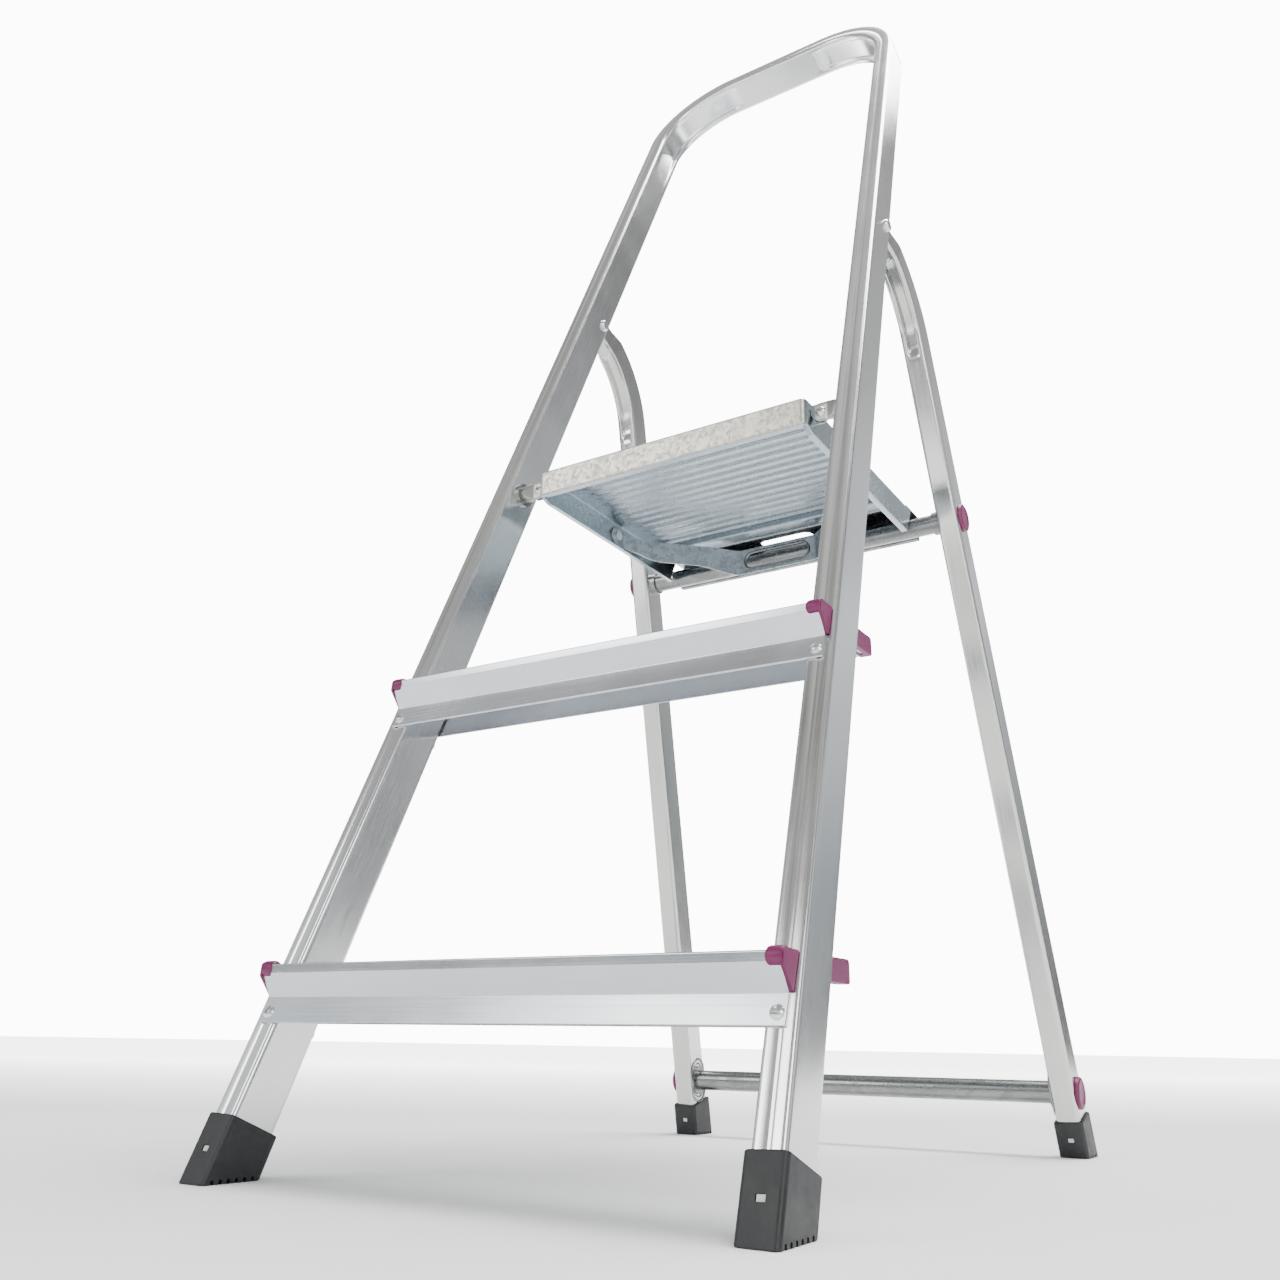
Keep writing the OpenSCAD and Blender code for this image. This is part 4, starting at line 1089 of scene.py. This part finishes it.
# ---- Catch lever: one bent strip with a finger slot ----
def make_lever():
    t = 1.6
    # its outer face at the tabs, its rivets behind the lip, and the middle of its finger slot
    x_o, back, rivet_z, finger_z = PLAT_HALF - SHEET - 0.4, 137, -16, -30.5
    grip_half, grip_y = 46, BAR_Y - BAR_D / 2 - 16.5
    path = rounded_polygon([(x_o, back - 11), (x_o, back + 14, 9), (grip_half, grip_y, 12), (0, grip_y)], 8)
    fine = []
    for a, c in zip(path, path[1:]):
        steps = max(1, int((c - a).length / 4))
        fine += [a + (c - a) * i / steps for i in range(steps)]
    fine.append(path[-1])
    fine += [Vector((-p.x, p.y)) for p in reversed(fine[:-1])]
    b = Build()
    rings = []
    for i, p in enumerate(fine):
        q0, q1 = fine[max(0, i - 1)], fine[min(len(fine) - 1, i + 1)]
        d = (q1 - q0).normalized()
        n = Vector((-d.y, d.x))
        if n.dot(Vector((0, back - 20)) - p) < 0:
            n = -n
        top = -5 - 9.5 * fade(p.y, back + 13, back + 30) - 1.5 * fade(p.y, grip_y - 30, grip_y)
        low = -26.5 - 11.5 * fade(p.y, back + 13, back + 42) - 7 * fade(p.y, grip_y - 34, grip_y - 2)
        mid, half = (top + low) / 2, (top - low) / 2
        if p.y < back:
            # the tab ends in a half round about its rivet
            k = sqrt(max(0.02, 1 - ((back - p.y) / 11.2) ** 2))
            mid, half = rivet_z + (mid - rivet_z) * k, half * k
        sec = rounded_polygon([(0, -half, 0.5), (t, -half, 0.5), (t, half, 0.5), (0, half, 0.5)], 2)
        rings.append([deck_point(p.x + n.x * c.x, p.y + n.y * c.x, mid + c.y) for c in sec])
    b.loft(rings)
    ob = b.object("catch_lever_strip", [LEVER])
    b = Build()
    slot = box_section(76, 18, 8.95, 10)
    b.loft([[deck_point(p.x, y, finger_z + p.y) for p in slot] for y in (grip_y - 8, grip_y + 6)])
    cut(ob, b.object("cutter", []))
    put(ob, "catch_lever", "galvanised_steel", "catch_lever")
    b = Build()
    r = 1.1
    # the rim round the finger slot is near-black: painted shade along the slot's edge
    bead(b, slot, r, r, lambda x, z, up: deck_point(x, grip_y - t - 0.3 + up, finger_z + z), shift=0.5)
    put(b.object("lever_slot_rim", [RIM_SHADE]), "catch_lever", "galvanised_steel")


make_lever()

# ---- Small CAD pieces that keep their own shape ----
for name, ob in NODES.items():
    if ob.hide_render:
        continue
    for words, material in ((("rivet",), RIVET), (("sleeve", "collar", "washers"), BAR), (("clips",), CLIP)):
        if any(word in name for word in words):
            ob.data.materials.clear()
            ob.data.materials.append(material)


# ---- Floor, light and camera ----
def make_floor():
    m, nt, bsdf = new_material("studio_floor")
    g = Graph(nt)
    tone = g.ramp(g.noise(g.mapping((3, 3, 3)), 3), [(0.3, 0.93), (0.7, 0.96)])
    nt.links.new(tone, bsdf.inputs["Base Color"])
    bsdf.inputs["Roughness"].default_value = 0.9
    # a lit sweep: the floor brightens with distance and meets the background softly
    far = nt.nodes.new("ShaderNodeVectorMath")
    far.operation = "DOT_PRODUCT"
    far.inputs[1].default_value = (-0.53, 0.85, 0)
    away = nt.nodes.new("ShaderNodeVectorMath")
    away.operation = "LENGTH"
    for n in (far, away):
        nt.links.new(g.coord, n.inputs[0])
    full_glow = 4.5
    behind = g.range(far.outputs["Value"], 0.0, full_glow, (0.7, 4.0))
    around = g.range(away.outputs["Value"], 0.0, full_glow, (5.0, 14.0))
    nt.links.new(g.math("MAXIMUM", behind, around), bsdf.inputs["Emission Strength"])
    bsdf.inputs["Emission Color"].default_value = (1, 1, 1, 1)
    me = bpy.data.meshes.new("floor")
    r = 60
    me.from_pydata([(-r, -r, 0), (r, -r, 0), (r, r, 0), (-r, r, 0)], [], [(0, 1, 2, 3)])
    me.materials.append(m)
    add_object("floor", me)


make_floor()


def area_light(name, loc, size, power, colour=(1, 1, 1)):
    """A rectangular light that points at the ladder's middle."""
    light = bpy.data.lights.new(name, "AREA")
    light.shape, light.size, light.size_y = "RECTANGLE", size[0], size[1]
    light.energy, light.color = power, colour
    ob = bpy.data.objects.new(name, light)
    ob.location = loc
    ob.rotation_euler = (Vector((0, 0, 0.6)) - Vector(loc)).to_track_quat("-Z", "Y").to_euler()
    bpy.context.scene.collection.objects.link(ob)


area_light("top", (0.9, 1.2, 4.6), (3.0, 3.0), 400)
area_light("front_right", (3.0, -3.2, 2.2), (1.6, 2.2), 70, (1.0, 0.99, 0.97))
area_light("front_left", (-2.2, -3.5, 2.3), (1.4, 1.8), 46, (1.0, 0.99, 0.96))


def make_world():
    """A room of soft bright and dark patches for bare metal to mirror, white behind for the camera."""
    world = bpy.data.worlds.new("studio")
    bpy.context.scene.world = world
    world.use_nodes = True
    nt = world.node_tree
    background = nt.nodes["Background"]
    background.inputs["Strength"].default_value = 1.0
    g = Graph(nt)
    direction = nt.nodes["Texture Coordinate"].outputs["Generated"]
    split = nt.nodes.new("ShaderNodeSeparateXYZ")
    nt.links.new(direction, split.inputs[0])
    height = g.ramp(g.range(split.outputs["Z"], 0, 1, (-1, 1)), [
        (0.0, (0.30, 0.31, 0.32)), (0.49, (0.22, 0.22, 0.23)), (0.58, (0.42, 0.45, 0.47)),
        (0.68, (0.95, 1.00, 1.04)), (0.78, (0.50, 0.51, 0.51)), (0.90, (0.46, 0.455, 0.44)),
        (1.0, (0.95, 0.95, 0.95))])
    patches = nt.nodes.new("ShaderNodeTexNoise")
    patches.inputs["Scale"].default_value, patches.inputs["Detail"].default_value = 2.6, 2.0
    nt.links.new(direction, patches.inputs["Vector"])
    lit = nt.nodes.new("ShaderNodeVectorMath")
    lit.operation = "SCALE"
    nt.links.new(height, lit.inputs[0])
    nt.links.new(g.range(patches.outputs["Fac"], 0.55, 1.40, (0.38, 0.62)), lit.inputs["Scale"])
    seen = nt.nodes.new("ShaderNodeLightPath").outputs["Is Camera Ray"]
    mix = nt.nodes.new("ShaderNodeMix")
    mix.data_type = "RGBA"
    nt.links.new(seen, mix.inputs["Factor"])
    nt.links.new(lit.outputs["Vector"], mix.inputs["A"])
    mix.inputs["B"].default_value = (12, 12, 12, 1)
    nt.links.new(mix.outputs["Result"], background.inputs["Color"])


make_world()


def make_camera():
    """The viewpoint: low, to the user's right, looking up. Place in mm, focal length in image widths."""
    place = row(499.3, -565.4, 91.2)
    yaw, pitch, roll = radians(32.10), radians(21.16), radians(1.01)
    focal, mid_across, mid_down = 1153.8 / 1280, 654.9 / 1280, 598.9 / 1280
    data = bpy.data.cameras.new("camera")
    cam = add_object("camera", data)
    fwd = Vector((-sin(yaw) * cos(pitch), cos(yaw) * cos(pitch), sin(pitch)))
    right = Vector((cos(yaw), sin(yaw), 0))
    up = right.cross(fwd)
    right, up = cos(roll) * right + sin(roll) * up, -sin(roll) * right + cos(roll) * up
    turn = Matrix((right, up, -fwd)).transposed()
    cam.matrix_world = Matrix.Translation(place) @ turn.to_4x4()
    data.sensor_width = 36
    data.lens = 36 * focal
    data.shift_x = 0.5 - mid_across
    data.shift_y = mid_down - 0.5
    data.clip_start, data.clip_end = 0.01, 200
    bpy.context.scene.camera = cam


make_camera()
